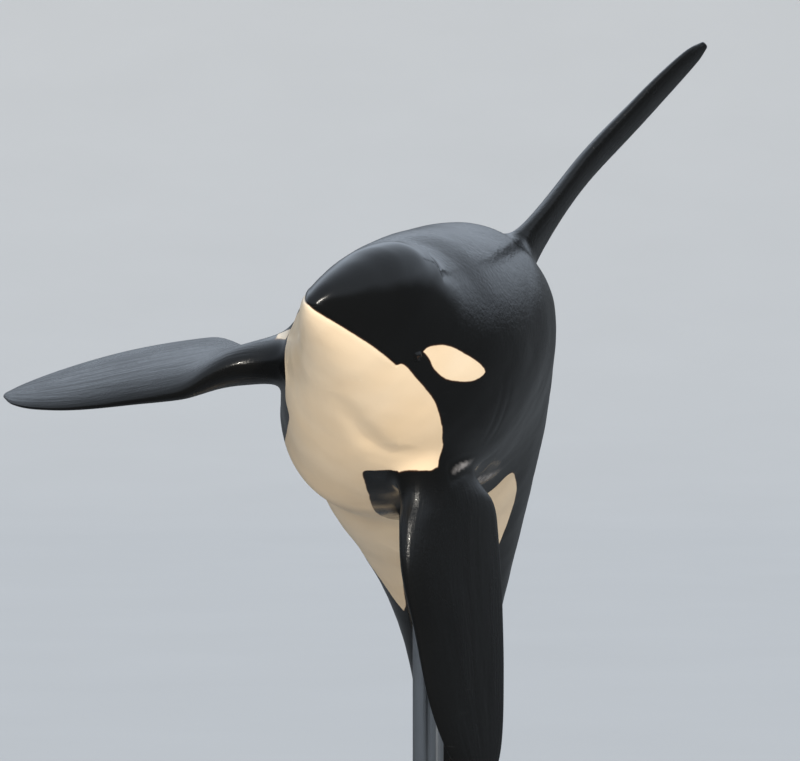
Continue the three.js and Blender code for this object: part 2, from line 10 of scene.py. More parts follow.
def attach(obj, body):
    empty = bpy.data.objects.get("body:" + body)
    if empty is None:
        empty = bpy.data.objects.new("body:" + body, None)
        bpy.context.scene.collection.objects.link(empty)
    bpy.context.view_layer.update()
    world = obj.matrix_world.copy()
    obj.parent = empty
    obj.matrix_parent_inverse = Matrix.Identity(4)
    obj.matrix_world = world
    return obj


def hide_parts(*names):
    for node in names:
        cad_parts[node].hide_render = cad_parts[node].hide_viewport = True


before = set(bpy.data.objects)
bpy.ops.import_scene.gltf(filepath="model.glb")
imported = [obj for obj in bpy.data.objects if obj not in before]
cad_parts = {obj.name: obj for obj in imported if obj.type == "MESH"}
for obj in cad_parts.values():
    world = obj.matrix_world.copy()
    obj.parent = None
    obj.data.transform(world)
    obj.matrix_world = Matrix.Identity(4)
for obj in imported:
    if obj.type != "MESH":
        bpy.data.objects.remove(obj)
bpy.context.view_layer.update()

# The orca's form: lengths in metres, angles in degrees
LENGTH = 7.0
GAP = 0.0003
ROLL = 36.5
PITCH = 7.5
GIRTH_STATION = 0.36
GIRTH_PLACE = (0.02, -0.20, 3.44)
SPINE_STEPS = 400
GUESS_REACH = 0.12
HALVINGS = 40

# Station, back height, belly depth and half width, all as shares of the length
FORM = [
    [0, 0, 0, 0],
    [0.003, 0.0082, 0.0062, 0.0058],
    [0.01, 0.0180, 0.0123, 0.0112],
    [0.02, 0.0280, 0.0183, 0.0172],
    [0.04, 0.0436, 0.0284, 0.0270],
    [0.06, 0.0565, 0.0380, 0.0348],
    [0.085, 0.0655, 0.0485, 0.0425],
    [0.11, 0.0677, 0.0590, 0.0508],
    [0.13, 0.0688, 0.0678, 0.0576],
    [0.15, 0.0735, 0.0758, 0.0640],
    [0.18, 0.0860, 0.0875, 0.0728],
    [0.24, 0.1055, 0.1040, 0.0825],
    [0.30, 0.1215, 0.1130, 0.0850],
    [0.36, 0.1250, 0.1115, 0.0848],
    [0.42, 0.1165, 0.1080, 0.0832],
    [0.50, 0.1025, 0.1040, 0.0780],
    [0.60, 0.0815, 0.0860, 0.0630],
    [0.70, 0.0605, 0.0630, 0.0460],
    [0.80, 0.0415, 0.0410, 0.0300],
    [0.88, 0.0290, 0.0280, 0.0195],
    [0.94, 0.0180, 0.0170, 0.0135],
    [0.975, 0.0105, 0.0100, 0.0110],
    [1, 0.004, 0.004, 0.008],
]

# Station, bend towards the belly and bend towards the left
BEND = [
    [0, -13, 20],
    [0.05, -8, 16.5],
    [0.1, -3, 11],
    [0.15, -2, 8.5],
    [0.2, 0, 6],
    [0.28, 1.5, 1],
    [0.36, 0, 0],
    [0.46, 12, 9],
    [0.56, 20, 15],
    [0.66, 28, 18],
    [0.76, 38, 21],
    [0.88, 54, 25],
    [1, 73, 28],
]

# Fins: edges ahead of the root and half thickness, by share of the length
LEVEL = [[0, 0], [1, 0]]
SECTION_FULLNESS = 0.35
FLIPPER = {
    "length": 1.64,
    "leading": [
        [0, 0.240], [0.05, 0.232], [0.1, 0.242], [0.17, 0.292], [0.3, 0.330],
        [0.5, 0.262], [0.7, 0.196], [0.85, 0.080], [0.95, -0.080], [1, -0.236],
    ],
    "trailing": [
        [0, -0.350], [0.05, -0.420], [0.1, -0.570], [0.17, -0.615], [0.3, -0.617],
        [0.5, -0.591], [0.7, -0.544], [0.85, -0.485], [0.95, -0.397], [1, -0.305],
    ],
    "thickness": [[0, 0.125], [0.3, 0.080], [0.7, 0.042], [0.95, 0.020], [1, 0.006]],
}
FLIPPER_LEFT = {
    "station": 0.225,
    "side": 0.446,
    "up": -0.357,
    "span": (-0.159, 0.895, -1.011),
    "chord": (0.922, -0.310, -0.254),
}
FLIPPER_RIGHT = {
    "station": 0.225,
    "side": 0.438,
    "up": -0.308,
    "span": (-0.173, 0.917, -0.924),
    "chord": (0.979, -0.162, -0.490),
    "wash": [[0, 8], [0.15, 16], [0.35, -1], [0.65, -4], [1, -1]],
}
DORSAL_FIN = {
    "station": 0.40,
    "up": 0.72,
    "length": 1.673,
    "lean": -1.8,
    "twist": 1.4,
    "bow": [[0, 0.004], [0.15, -0.010], [0.4, -0.018], [0.7, 0.006], [1, 0.018]],
    "wash": [[0, 0], [0.3, 5.3], [0.6, 0.2], [1, -8.7]],
    "leading": [
        [0, 0.55], [0.1, 0.42], [0.3, 0.25], [0.6, 0.03], [0.85, -0.13], [0.95, -0.22], [1, -0.31],
    ],
    "trailing": [
        [0, -0.50], [0.1, -0.50], [0.3, -0.49], [0.6, -0.46], [0.85, -0.45], [0.95, -0.44], [1, -0.40],
    ],
    "thickness": [
        [0, 0.095], [0.1, 0.069], [0.3, 0.054], [0.5, 0.048], [0.7, 0.039], [0.85, 0.030], [0.95, 0.022],
        [1, 0.011],
    ],
}
FLUKE = {
    "station": 0.955,
    "length": 1.05,
    "leading": [[0, 0.40], [0.2, 0.28], [0.5, 0.08], [0.8, -0.18], [1, -0.42]],
    "trailing": [[0, -0.25], [0.1, -0.33], [0.5, -0.42], [0.8, -0.46], [1, -0.46]],
    "thickness": [[0, 0.060], [0.3, 0.032], [0.8, 0.014], [1, 0.005]],
}


# A smooth curve through a table's points that never overshoots between them
def smooth_table(table, column, warp=np.array):
    x = warp(np.array([row[0] for row in table], float))
    y = np.array([row[column] for row in table], float)
    step = np.diff(x)
    rise = np.diff(y) / step
    slope = np.zeros_like(y)
    slope[0] = rise[0]
    slope[-1] = rise[-1]
    for i in range(1, len(x) - 1):
        if rise[i - 1] * rise[i] > 0:
            before = 2 * step[i] + step[i - 1]
            after = step[i] + 2 * step[i - 1]
            slope[i] = (before + after) / (before / rise[i - 1] + after / rise[i])

    def read(at):
        v = np.clip(warp(np.asarray(at, float)), x[0], x[-1])
        i = np.clip(np.searchsorted(x, v) - 1, 0, len(x) - 2)
        t = (v - x[i]) / step[i]
        start = (1 + 2 * t) * (1 - t) ** 2 * y[i] + t * (1 - t) ** 2 * step[i] * slope[i]
        end = t * t * (3 - 2 * t) * y[i + 1] + t * t * (t - 1) * step[i] * slope[i + 1]
        return start + end

    return read


back_height = smooth_table(FORM, 1, np.sqrt)
belly_depth = smooth_table(FORM, 2, np.sqrt)
half_width = smooth_table(FORM, 3, np.sqrt)
bend_down = smooth_table(BEND, 1)
bend_left = smooth_table(BEND, 2)


def unit(v):
    return v / np.linalg.norm(v, axis=-1, keepdims=True)


def dot(a, b):
    return (a * b).sum(axis=-1, keepdims=True)


def square_to(direction, axis):
    return unit(direction - axis * dot(direction, axis))


def girth_axes():
    pitch = math.radians(PITCH)
    roll = math.radians(ROLL)
    forward = np.array([0.0, -math.cos(pitch), math.sin(pitch)])
    level = np.array([1.0, 0.0, 0.0])
    upright = np.cross(forward, level)
    up = math.cos(roll) * upright + math.sin(roll) * level
    left = math.cos(roll) * level - math.sin(roll) * upright
    return forward, left, up


GIRTH_FORWARD, GIRTH_LEFT, GIRTH_UP = girth_axes()


# Directions at stations: towards the tail, to the left and up through the back
def spine_axes(station):
    down = np.radians(bend_down(station))[..., None]
    turn = np.radians(bend_left(station))[..., None]
    tail = -np.cos(down) * np.cos(turn) * GIRTH_FORWARD + np.sin(turn) * GIRTH_LEFT
    tail = tail - np.sin(down) * np.cos(turn) * GIRTH_UP
    up = square_to(-np.sin(down) * GIRTH_FORWARD + np.cos(down) * GIRTH_UP, tail)
    return tail, np.cross(tail, up), up


def spine_centres():
    middles = (np.arange(SPINE_STEPS) + 0.5) / SPINE_STEPS
    steps = spine_axes(middles)[0] * LENGTH / SPINE_STEPS
    points = np.concatenate([np.zeros((1, 3)), np.cumsum(steps, axis=0)])
    return points - points[round(GIRTH_STATION * SPINE_STEPS)] + np.array(GIRTH_PLACE)


CENTRES = spine_centres()


def spine_centre(station):
    place = np.clip(station, 0, 1) * SPINE_STEPS
    i = np.minimum(np.floor(place).astype(int), SPINE_STEPS - 1)
    share = (place - i)[..., None]
    return CENTRES[i] * (1 - share) + CENTRES[i + 1] * share


def beside_spine(station, left, up):
    station = np.asarray(station, float)
    _, left_way, up_way = spine_axes(station)
    offset = left_way * np.asarray(left)[..., None] + up_way * np.asarray(up)[..., None]
    return spine_centre(station) + offset


# Points of the skin by station and angle: 0 is the left side, 90 the back and -90 the belly
def skin_point(station, angle, grow=0.0):
    station, angle = np.broadcast_arrays(np.asarray(station, float), np.asarray(angle, float))
    turn = np.radians(angle)
    height = np.where(np.sin(turn) > 0, back_height(station), belly_depth(station)) * LENGTH
    across = (half_width(station) * LENGTH + grow) * np.cos(turn)
    return beside_spine(station, across, (height + grow) * np.sin(turn))


# The skin's own directions at a point: outwards and towards the tail
def skin_axes(station, angle):
    ahead = max(station - 0.002, 0.0)
    tail = unit(skin_point(ahead + 0.004, angle) - skin_point(ahead, angle))
    around = square_to(skin_point(station, angle + 1.0) - skin_point(station, angle - 1.0), tail)
    out = np.cross(around, tail)
    away = skin_point(station, angle) - spine_centre(np.asarray(station))
    return np.where(dot(out, away) < 0, -out, out), tail


# Station, angle and height over the skin of points near a guessed station
def body_place(points, guess):
    low = np.full(len(points), max(guess - GUESS_REACH, 0.0))
    high = np.full(len(points), min(guess + GUESS_REACH, 1.0))
    for _ in range(HALVINGS):
        middle = (low + high) / 2
        behind = dot(points - spine_centre(middle), spine_axes(middle)[0])[:, 0] > 0
        low = np.where(behind, middle, low)
        high = np.where(behind, high, middle)
    station = (low + high) / 2
    _, left, up = spine_axes(station)
    offset = points - spine_centre(station)
    x = dot(offset, left)[:, 0]
    z = dot(offset, up)[:, 0]
    wide = half_width(station) * LENGTH
    tall = np.where(z > 0, back_height(station), belly_depth(station)) * LENGTH
    angle = np.degrees(np.arctan2(z / tall, x / wide))
    share = np.hypot(x / wide, z / tall)
    height = np.hypot(x, z) * (1 - 1 / np.maximum(share, 1e-6))
    return station, angle, height


def local_direction(station, shares):
    tail, left, up = spine_axes(np.asarray(station, float))
    return unit(-tail * shares[0] + left * shares[1] + up * shares[2])


# A fin's surface: a function of the turn round its section and the share along it
def fin_surface(fin, root, span, chord):
    normal = unit(np.cross(span, chord))
    lead = smooth_table(fin["leading"], 1)
    trail = smooth_table(fin["trailing"], 1)
    thick = smooth_table(fin["thickness"], 1)
    bow = smooth_table(fin.get("bow", LEVEL), 1)
    wash = smooth_table(fin.get("wash", LEVEL), 1)

    def point(turn, along):
        turn, along = np.broadcast_arrays(np.asarray(turn, float), np.asarray(along, float))
        forward = np.cos(turn)
        middle = (lead(along) + trail(along)) / 2 + (lead(along) - trail(along)) / 2 * forward
        side = thick(along) * np.sin(turn) * (1 + SECTION_FULLNESS * forward)
        turned = np.radians(wash(along))[..., None]
        ahead = chord * np.cos(turned) + normal * np.sin(turned)
        aside = normal * np.cos(turned) - chord * np.sin(turned)
        offset = span * (along * fin["length"])[..., None] + normal * bow(along)[..., None]
        return root + offset + ahead * middle[..., None] + aside * side[..., None]

    return point


def flipper_surface(place, side):
    span, chord = (
        local_direction(place["station"], (forward, outward * side, upward))
        for forward, outward, upward in (place["span"], place["chord"])
    )
    root = beside_spine(place["station"], place["side"] * side, place["up"])
    fin = dict(FLIPPER, wash=place.get("wash", LEVEL))
    return fin_surface(fin, root, span, square_to(chord, span))


def dorsal_surface():
    tail, left, up = spine_axes(np.asarray(DORSAL_FIN["station"]))
    lean = math.radians(DORSAL_FIN["lean"])
    twist = math.radians(DORSAL_FIN["twist"])
    span = up * math.cos(lean) + left * math.sin(lean)
    ahead = -tail * math.cos(twist) - left * math.sin(twist)
    root = beside_spine(DORSAL_FIN["station"], 0.0, DORSAL_FIN["up"])
    return fin_surface(DORSAL_FIN, root, span, square_to(ahead, span))


def fluke_surface(side):
    tail, left, _ = spine_axes(np.asarray(FLUKE["station"]))
    root = spine_centre(np.asarray(FLUKE["station"])) + left * side * GAP / 2
    return fin_surface(FLUKE, root, left * side, -tail)


# Rows of the skin's grid round half the body, from the belly (0) to the back (HALF_ROWS)
HALF_ROWS = 80
ROWS = 2 * HALF_ROWS
LOWER_ROW = 12
UPPER_ROW = 28
LIP_ROWS = (38, 41, 44)
BROW_ROW = 56
RIDGE_ROW = 72

# The line of the mouth, then a plain row along the flank
MOUTH_ROW = [
    [0, -8], [0.006, -4], [0.02, -3.5], [0.044, -4.5], [0.066, -6.5], [0.083, -8],
    [0.11, -7], [0.16, 0], [0.20, 8], [0.26, 12], [0.31, 12], [0.42, 6], [0.5, 3], [0.88, 2], [1, 2],
]
LIP_REACH = 0.026
LIP_SPREAD = (0.10, 0.17)
LEAST_WIDTH = 0.02
LIP_TURN = [[0, 14], [0.02, 12], [0.2, 5], [0.35, 6.5], [1, 6.5]]

# Rows below and above each flipper's root
LOWER_LEFT = [
    [0, -62], [0.12, -62], [0.17, -61], [0.205, -60], [0.24, -54], [0.27, -41], [0.31, -37], [0.42, -58],
    [0.88, -63], [1, -63],
]
UPPER_LEFT = [
    [0, -38], [0.12, -31], [0.17, -25], [0.205, -15], [0.24, -7], [0.28, -5], [0.31, -5], [0.42, -24],
    [0.8, -28], [0.89, -44], [1, -46],
]
LOWER_RIGHT = [
    [0, -62], [0.12, -61], [0.17, -59], [0.20, -58], [0.23, -53], [0.26, -43], [0.29, -30], [0.31, -28],
    [0.42, -58], [0.88, -63], [1, -63],
]
UPPER_RIGHT = [
    [0, -38], [0.12, -31], [0.17, -24], [0.19, -19], [0.21, -11], [0.24, -5], [0.28, -3], [0.31, -3],
    [0.42, -24], [0.8, -28], [0.89, -44], [1, -46],
]
BROW = [[0, 34], [0.02, 28], [0.06, 24], [0.12, 24], [0.2, 34], [0.3, 36], [0.8, 36], [0.89, 48], [1, 50]]
RIDGE = [[0, 72], [0.2, 74], [0.3, 70], [0.5, 70], [0.6, 74], [1, 74]]

# Spans of the body with the number of rings in each
RING_SPANS = [
    (0.0004, 0.0200, 16),
    (0.0200, 0.1200, 68),
    (0.1200, 0.1680, 22),
    (0.1680, 0.3080, 26),
    (0.3080, 0.3270, 4),
    (0.3270, 0.4710, 26),
    (0.4710, 0.8970, 66),
    (0.8970, 0.9985, 34),
]
SNOUT_CROWDING = 1.8

mouth_row = smooth_table(MOUTH_ROW, 1)
lip_turn = smooth_table(LIP_TURN, 1)
brow_row = smooth_table(BROW, 1)
ridge_row = smooth_table(RIDGE, 1)
FIN_LINES = {
    1: (smooth_table(LOWER_LEFT, 1), smooth_table(UPPER_LEFT, 1)),
    -1: (smooth_table(LOWER_RIGHT, 1), smooth_table(UPPER_RIGHT, 1)),
}


def ring_stations():
    stations = [RING_SPANS[0][0]]
    for first, last, steps in RING_SPANS:
        share = np.arange(1, steps + 1) / steps
        if first == RING_SPANS[0][0]:
            share = share ** SNOUT_CROWDING
        stations.extend(first + (last - first) * share)
    return np.array(stations)


# Angles of the rows round half a ring, on the left side or mirrored from the right
def half_ring(station, side):
    seam = mouth_row(station)
    wide = max(half_width(station) * LENGTH, LEAST_WIDTH)
    lip = min(math.degrees(LIP_REACH / wide), lip_turn(station))
    lip += (lip_turn(station) - lip) * smooth_step(*LIP_SPREAD, station)
    lower, upper = FIN_LINES[side]
    marks = [
        [0, -90],
        [LOWER_ROW, lower(station)],
        [UPPER_ROW, upper(station)],
        [LIP_ROWS[0], seam - lip],
        [LIP_ROWS[1], seam],
        [LIP_ROWS[2], seam + lip],
        [BROW_ROW, brow_row(station)],
        [RIDGE_ROW, ridge_row(station)],
        [HALF_ROWS, 90],
    ]
    return smooth_table(marks, 1)(np.arange(HALF_ROWS + 1))


def ring_angles(station):
    left = half_ring(station, 1)
    right = 180 - half_ring(station, -1)[::-1]
    return np.concatenate([left, right[1:-1]])


# A growing mesh: places, marks of where each point is on the body, faces and the points to smooth
class Cage:
    def __init__(self):
        self.points = []
        self.marks = []
        self.faces = []
        self.soft = []
        self.count = 0

    def add(self, points, station, angle, share=0.0, fluke=0.0, height=0.0):
        points = np.asarray(points, float).reshape(-1, 3)
        columns = [np.asarray(c, float).reshape(-1) for c in (station, angle, share, fluke, height)]
        self.points.append(points)
        self.marks.append(np.stack([np.broadcast_to(c, len(points)) for c in columns], axis=1))
        first = self.count
        self.count += len(points)
        return first + np.arange(len(points))

    # Quads between two loops of the same length
    def bridge(self, first, second):
        for k in range(len(first)):
            n = (k + 1) % len(first)
            self.faces.append((first[k], first[n], second[n], second[k]))

    # Quads over a grid of points
    def grid(self, ids, skip=None):
        for i in range(ids.shape[0] - 1):
            for j in range(ids.shape[1] - 1):
                if skip is None or not skip[i, j]:
                    self.faces.append((ids[i, j], ids[i, j + 1], ids[i + 1, j + 1], ids[i + 1, j]))


# The four sides of a square made from a closed rim: near, top, far and low
def rim_sides(rim):
    side = len(rim) // 4
    ring = np.roll(rim, -(side // 2), axis=0)
    low = np.concatenate([ring[3 * side:], ring[:1]])[::-1]
    return ring[0:side + 1], ring[side:2 * side + 1], ring[2 * side:3 * side + 1][::-1], low


# A square grid of places in the unit disc, from the angles of its rim
def disc_grid(angles):
    turn = np.radians(angles)
    near, top, far, low = rim_sides(np.stack([np.cos(turn), np.sin(turn)], axis=1))
    u = np.linspace(0, 1, len(near))[:, None, None]
    v = np.linspace(0, 1, len(near))[None, :, None]
    across = near[None] * (1 - u) + far[None] * u
    along = low[:, None] * (1 - v) + top[:, None] * v
    corners = (near[0] * (1 - v) + near[-1] * v) * (1 - u) + (far[0] * (1 - v) + far[-1] * v) * u
    return across + along - corners


# Closes an end of the body with a grid; reach gives the places at shares of the rim's radius
def close_end(cage, rim_ids, angles, reach):
    places = disc_grid(angles)
    side = len(places) - 1
    ids = np.zeros((side + 1, side + 1), int)
    ids[0, :], ids[:, side], ids[side, :], ids[:, 0] = rim_sides(rim_ids)
    inner = places[1:-1, 1:-1].reshape(-1, 2)
    radius = np.hypot(inner[:, 0], inner[:, 1])
    angle = np.degrees(np.arctan2(inner[:, 1], inner[:, 0]))
    points, station = reach(radius, angle)
    ids[1:-1, 1:-1] = cage.add(points, station, angle).reshape(side - 1, side - 1)
    cage.grid(ids)


# The fins with the block of the grid that each one grows from: stations, rows and blending
FLIPPER_BLOCK = {"span": (0.168, 0.308), "near": 0.24, "lift": 0.035, "rings": 50, "tip": 1.3, "fluke": 0.0}
DORSAL_BLOCK = {"span": (0.327, 0.471), "near": 0.40, "lift": 0.045, "rings": 50, "tip": 1.3, "fluke": 0.0}
FLUKE_BLOCK = {"span": (0.897, 0.9985), "near": 0.95, "lift": 0.014, "rings": 38, "tip": 1.4, "fluke": 1.0}
FINS = [
    (flipper_surface(FLIPPER_LEFT, 1), (LOWER_ROW, UPPER_ROW), FLIPPER_BLOCK),
    (flipper_surface(FLIPPER_RIGHT, -1), (ROWS - UPPER_ROW, ROWS - LOWER_ROW), FLIPPER_BLOCK),
    (dorsal_surface(), (RIDGE_ROW, ROWS - RIDGE_ROW), DORSAL_BLOCK),
    (fluke_surface(1), (UPPER_ROW, BROW_ROW), FLUKE_BLOCK),
    (fluke_surface(-1), (ROWS - BROW_ROW, ROWS - UPPER_ROW), FLUKE_BLOCK),
]
BLEND_RINGS = 6
SOFT_RINGS = 3
LIFT_HALVINGS = 26
ROOT_SHARE = 0.08
RISE_STEP = 0.03
HEIGHT_ALONG = 1.5
EVENING = 0.6
TAIL_END_BULGE = 0.012


# The share along a fin at which each of its lines stands a given height over the body
def share_over_body(surface, turns, near, lift):
    low = np.zeros(len(turns))
    high = np.full(len(turns), 0.5)
    for _ in range(LIFT_HALVINGS):
        middle = (low + high) / 2
        outside = body_place(surface(turns, middle), near)[2] > lift
        high = np.where(outside, middle, high)
        low = np.where(outside, low, middle)
    return high


# Grows a fin out of its block of the grid: a smooth blend, then rings along the fin and a closed tip
def add_fin(cage, surface, block_rows, block, ids, stations):
    first, last = (int(np.argmin(abs(stations - end))) for end in block["span"])
    low, high = block_rows
    columns = range(first, last + 1)
    rows = range(low, high + 1)
    loop = [(i, low) for i in columns][:-1] + [(last, j) for j in rows][:-1]
    loop += [(i, high) for i in reversed(columns)][:-1] + [(first, j) for j in reversed(rows)][:-1]

    def outer(i, j):
        step_i = (i == last) - (i == first)
        step_j = (j == high) - (j == low)
        return (min(i + step_i, len(stations) - 1), (j + step_j) % ROWS)

    points = np.concatenate(cage.points)
    rim_ids = np.array([ids[i, j % ROWS] for i, j in loop])
    rim = points[rim_ids]
    beyond = points[np.array([ids[outer(i, j)] for i, j in loop])]
    ahead = np.array([-spine_axes(stations[i])[0] for i, _ in loop])
    step = rim - beyond
    inward = unit(np.where(np.linalg.norm(step, axis=1, keepdims=True) > 1e-6, step, ahead))

    # Each point of the rim takes the turn of the fin's section that it faces
    chord = unit(surface(0.0, ROOT_SHARE) - surface(np.pi, ROOT_SHARE))
    flat = square_to(unit(surface(np.pi / 2, ROOT_SHARE) - surface(-np.pi / 2, ROOT_SHARE)), chord)
    turns = np.arctan2(centred(rim @ flat), centred(rim @ chord))
    turns = even_turns(turns, len(columns) - 1, len(rows) - 1)

    starts = share_over_body(surface, turns, block["near"], block["lift"])
    base = surface(turns, starts)
    rise = unit(surface(turns, starts + RISE_STEP) - base)
    gap = np.linalg.norm(base - rim, axis=1, keepdims=True)
    loops = [rim_ids]
    for k in range(1, BLEND_RINGS):
        u = k / BLEND_RINGS
        place = (1 + 2 * u) * (1 - u) ** 2 * rim + u * (1 - u) ** 2 * gap * inward
        place = place + u * u * (3 - 2 * u) * base + u * u * (u - 1) * gap * rise
        station, angle, height = body_place(place, block["near"])
        loops.append(cage.add(place, station, angle, 0.0, block["fluke"], np.maximum(height, 0)))
    station, angle, _ = body_place(base, block["near"])
    for k in range(block["rings"] + 1):
        u = 1 - (1 - k / block["rings"]) ** block["tip"]
        share = starts + (1 - starts) * u
        height = block["lift"] + (share - starts) * HEIGHT_ALONG
        loops.append(cage.add(surface(turns, share), station, angle, share, block["fluke"], height))
    for before, after in zip(loops, loops[1:]):
        cage.bridge(before, after)
    for loop_ids in loops[:BLEND_RINGS + SOFT_RINGS]:
        cage.soft.extend(loop_ids)
    for i in range(first - SOFT_RINGS, min(last + SOFT_RINGS + 1, len(stations) - 1)):
        for j in range(low - SOFT_RINGS, high + SOFT_RINGS + 1):
            cage.soft.append(ids[i, j % ROWS])
    end = surface(turns, np.ones(len(turns))).mean(axis=0)
    tip = cage.add(end, station[:1], angle[:1], 1.0, block["fluke"], 1.0)
    for k in range(len(turns)):
        cage.faces.append((loops[-1][k], loops[-1][(k + 1) % len(turns)], tip[0]))
    return first, last, low, high


# Values moved and scaled so that they run from -1 to 1
def centred(values):
    return (values - (values.max() + values.min()) / 2) / ((values.max() - values.min()) / 2)


# The same turns, evened out between the four corners of the block
def even_turns(turns, columns, rows):
    turns = np.unwrap(turns)
    corners = [0, columns, columns + rows, 2 * columns + rows, 2 * (columns + rows)]
    closed = np.append(turns, turns[0] + np.sign(turns[-1] - turns[0]) * 2 * np.pi)
    for a, b in zip(corners, corners[1:]):
        share = np.linspace(0, 1, b - a + 1)
        straight = closed[a] + (closed[b] - closed[a]) * share
        closed[a:b + 1] = (1 - EVENING) * closed[a:b + 1] + EVENING * straight
    return closed[:-1]


def build_cage():
    cage = Cage()
    stations = ring_stations()
    angles = np.array([ring_angles(s) for s in stations])
    flat = np.repeat(stations, ROWS)
    ids = cage.add(skin_point(flat, angles.ravel()), flat, angles.ravel()).reshape(len(stations), ROWS)
    hole = np.zeros((len(stations) - 1, ROWS), bool)
    for surface, rows, block in FINS:
        first, last, low, high = add_fin(cage, surface, rows, block, ids, stations)
        hole[first:last, low:high] = True
    cage.grid(np.concatenate([ids, ids[:, :1]], axis=1), hole)

    tip = stations[0]
    close_end(cage, ids[0], angles[0], lambda r, a: (skin_point(tip * r * r, a), tip * r * r))

    def tail_end(radius, angle):
        station = np.full(len(radius), stations[-1])
        rim = skin_point(station, angle) - spine_centre(station)
        bulge = TAIL_END_BULGE * np.sqrt(np.maximum(1 - radius ** 2, 0))
        round_end = spine_axes(station)[0] * bulge[:, None]
        return spine_centre(station) + rim * radius[:, None] + round_end, station

    close_end(cage, ids[-1], angles[-1], tail_end)
    return cage


# Markings and features, as station and angle on the left side; the right side mirrors them
MOUTH_LINE = MOUTH_ROW[:6]
MOUTH_STEPS = 60
WHITE_EDGE = [
    [0.0836, -6.0], [0.0850, -4.4], [0.0880, -3.9], [0.0930, -4.2], [0.1057, -6.2], [0.1206, -7.6],
    [0.1389, -9.6], [0.1515, -12.3], [0.1675, -16.3], [0.1850, -21.2], [0.1988, -24.9], [0.2036, -27.0],
    [0.2052, -29.5], [0.2045, -33.0], [0.2015, -38.0], [0.1970, -43.0], [0.1946, -46.5], [0.1939, -51.8],
    [0.1928, -57.0], [0.1932, -61.5], [0.1965, -63.6], [0.2178, -63.8], [0.2521, -62.5], [0.3082, -60.0],
    [0.360, -58.5], [0.400, -55.0], [0.428, -44.0], [0.444, -28.0], [0.4560, -13.0], [0.4555, -7.0],
    [0.4620, -3.0], [0.5000, 0.2], [0.5420, 0.4], [0.5800, -3.2], [0.610, -9.0], [0.645, -15.0],
    [0.652, -19.5], [0.630, -25.5], [0.590, -36.0], [0.560, -47.0], [0.548, -56.0], [0.560, -64.0],
    [0.595, -71.0], [0.640, -78.0], [0.675, -84.0], [0.690, -90.0],
]
WHITE_CORNERS = [[0.69, -96], [-0.02, -96]]
EYE_PATCH = [
    [0.0962, 9.8], [0.0984, 13.5], [0.1062, 17.5], [0.1152, 20.6], [0.1281, 22.5], [0.1423, 22.5],
    [0.1566, 21.6], [0.1665, 19.9], [0.1725, 17.4], [0.1693, 14.8], [0.1621, 10.9], [0.1443, 6.2],
    [0.1324, 4.1], [0.1227, 4.3], [0.1137, 5.6], [0.1066, 8.0], [0.1008, 9.2],
]
ARMPIT_PATCH = [
    [0.186, -27.2], [0.202, -24.6], [0.218, -21.6], [0.210, -20.4], [0.198, -20.6], [0.184, -23.0],
]
ARMPIT_CLIMB = 0.055

# How high the white climbs on the flippers' roots, by angle on the left, and where it ends on the right
CLIMB = 0.02
CLIMB_LEFT = [
    [-90, 0.02], [-46, 0.010], [-41, 0.017], [-37, 0.029], [-33, 0.042], [-30.6, 0.049], [-28.5, 0.038],
    [-26, 0.03],
]
SHOULDER_END = 0.26
RIGHT_END = [
    [-90, 0.45], [-67, 0.45], [-61, 0.30], [-57, 0.200], [-51, 0.1855], [-45, 0.1815], [-35, 0.1800],
    [-28, 0.1800], [-22, 0.1840], [-12, 0.215], [0, 0.26],
]

# The flukes' own markings start at this station, with a black border along the edges of the white
TAIL_STATION = 0.88
FLUKE_BORDERS = {"lead": 0.085, "trail": 0.075, "tip": 0.16, "above": -0.06}

# The grey saddle behind the dorsal fin
SADDLE = [
    [0.468, 90], [0.452, 80], [0.436, 70], [0.428, 60], [0.436, 50], [0.462, 45], [0.495, 49],
    [0.522, 58], [0.536, 70], [0.530, 80], [0.522, 90],
]
SADDLE_CORNERS = [[0.522, 96], [0.468, 96]]

# Relief: the lips, the step behind the melon, the blowhole, the throat's hollow, folds and faint lines
LIP_GROOVE = {"depth": 0.006, "width": 0.0055, "tip": 0.001}
UPPER_LIP = {"rise": 0.0030, "away": 0.026, "width": 0.016, "tip": 0.002}
LOWER_LIP = {"rise": 0.0012, "away": 0.024, "width": 0.015, "tip": 0.0008}
MOUTH_END_SHARE = 0.03
MOUTH_TIP_SHARE = 0.06
MELON_END = [[0, 0.1030], [60, 0.1030], [66, 0.1036], [74, 0.1046], [82, 0.1054], [90, 0.1057]]
MELON_STEP = {"depth": 0.021, "start": -0.006, "end": 0.038, "fade": 0.10, "swell": 0.005, "width": 0.045}
MELON_ANGLES = (58, 74)
BLOWHOLE = [[0.1133, 73.5], [0.1146, 76.0], [0.1172, 80.0], [0.1200, 84.5], [0.1216, 90.0]]
BLOWHOLE_DEPTH = 0.005
BLOWHOLE_WIDTH = 0.013
BLOWHOLE_FADE = 0.006
THROAT = [
    [0.0900, -74.0], [0.1122, -64.6], [0.1323, -59.2], [0.1522, -54.1], [0.1684, -48.0], [0.1728, -41.5],
    [0.1693, -34.8],
]
THROAT_DEPTH = 0.022
THROAT_WIDTH = 0.068

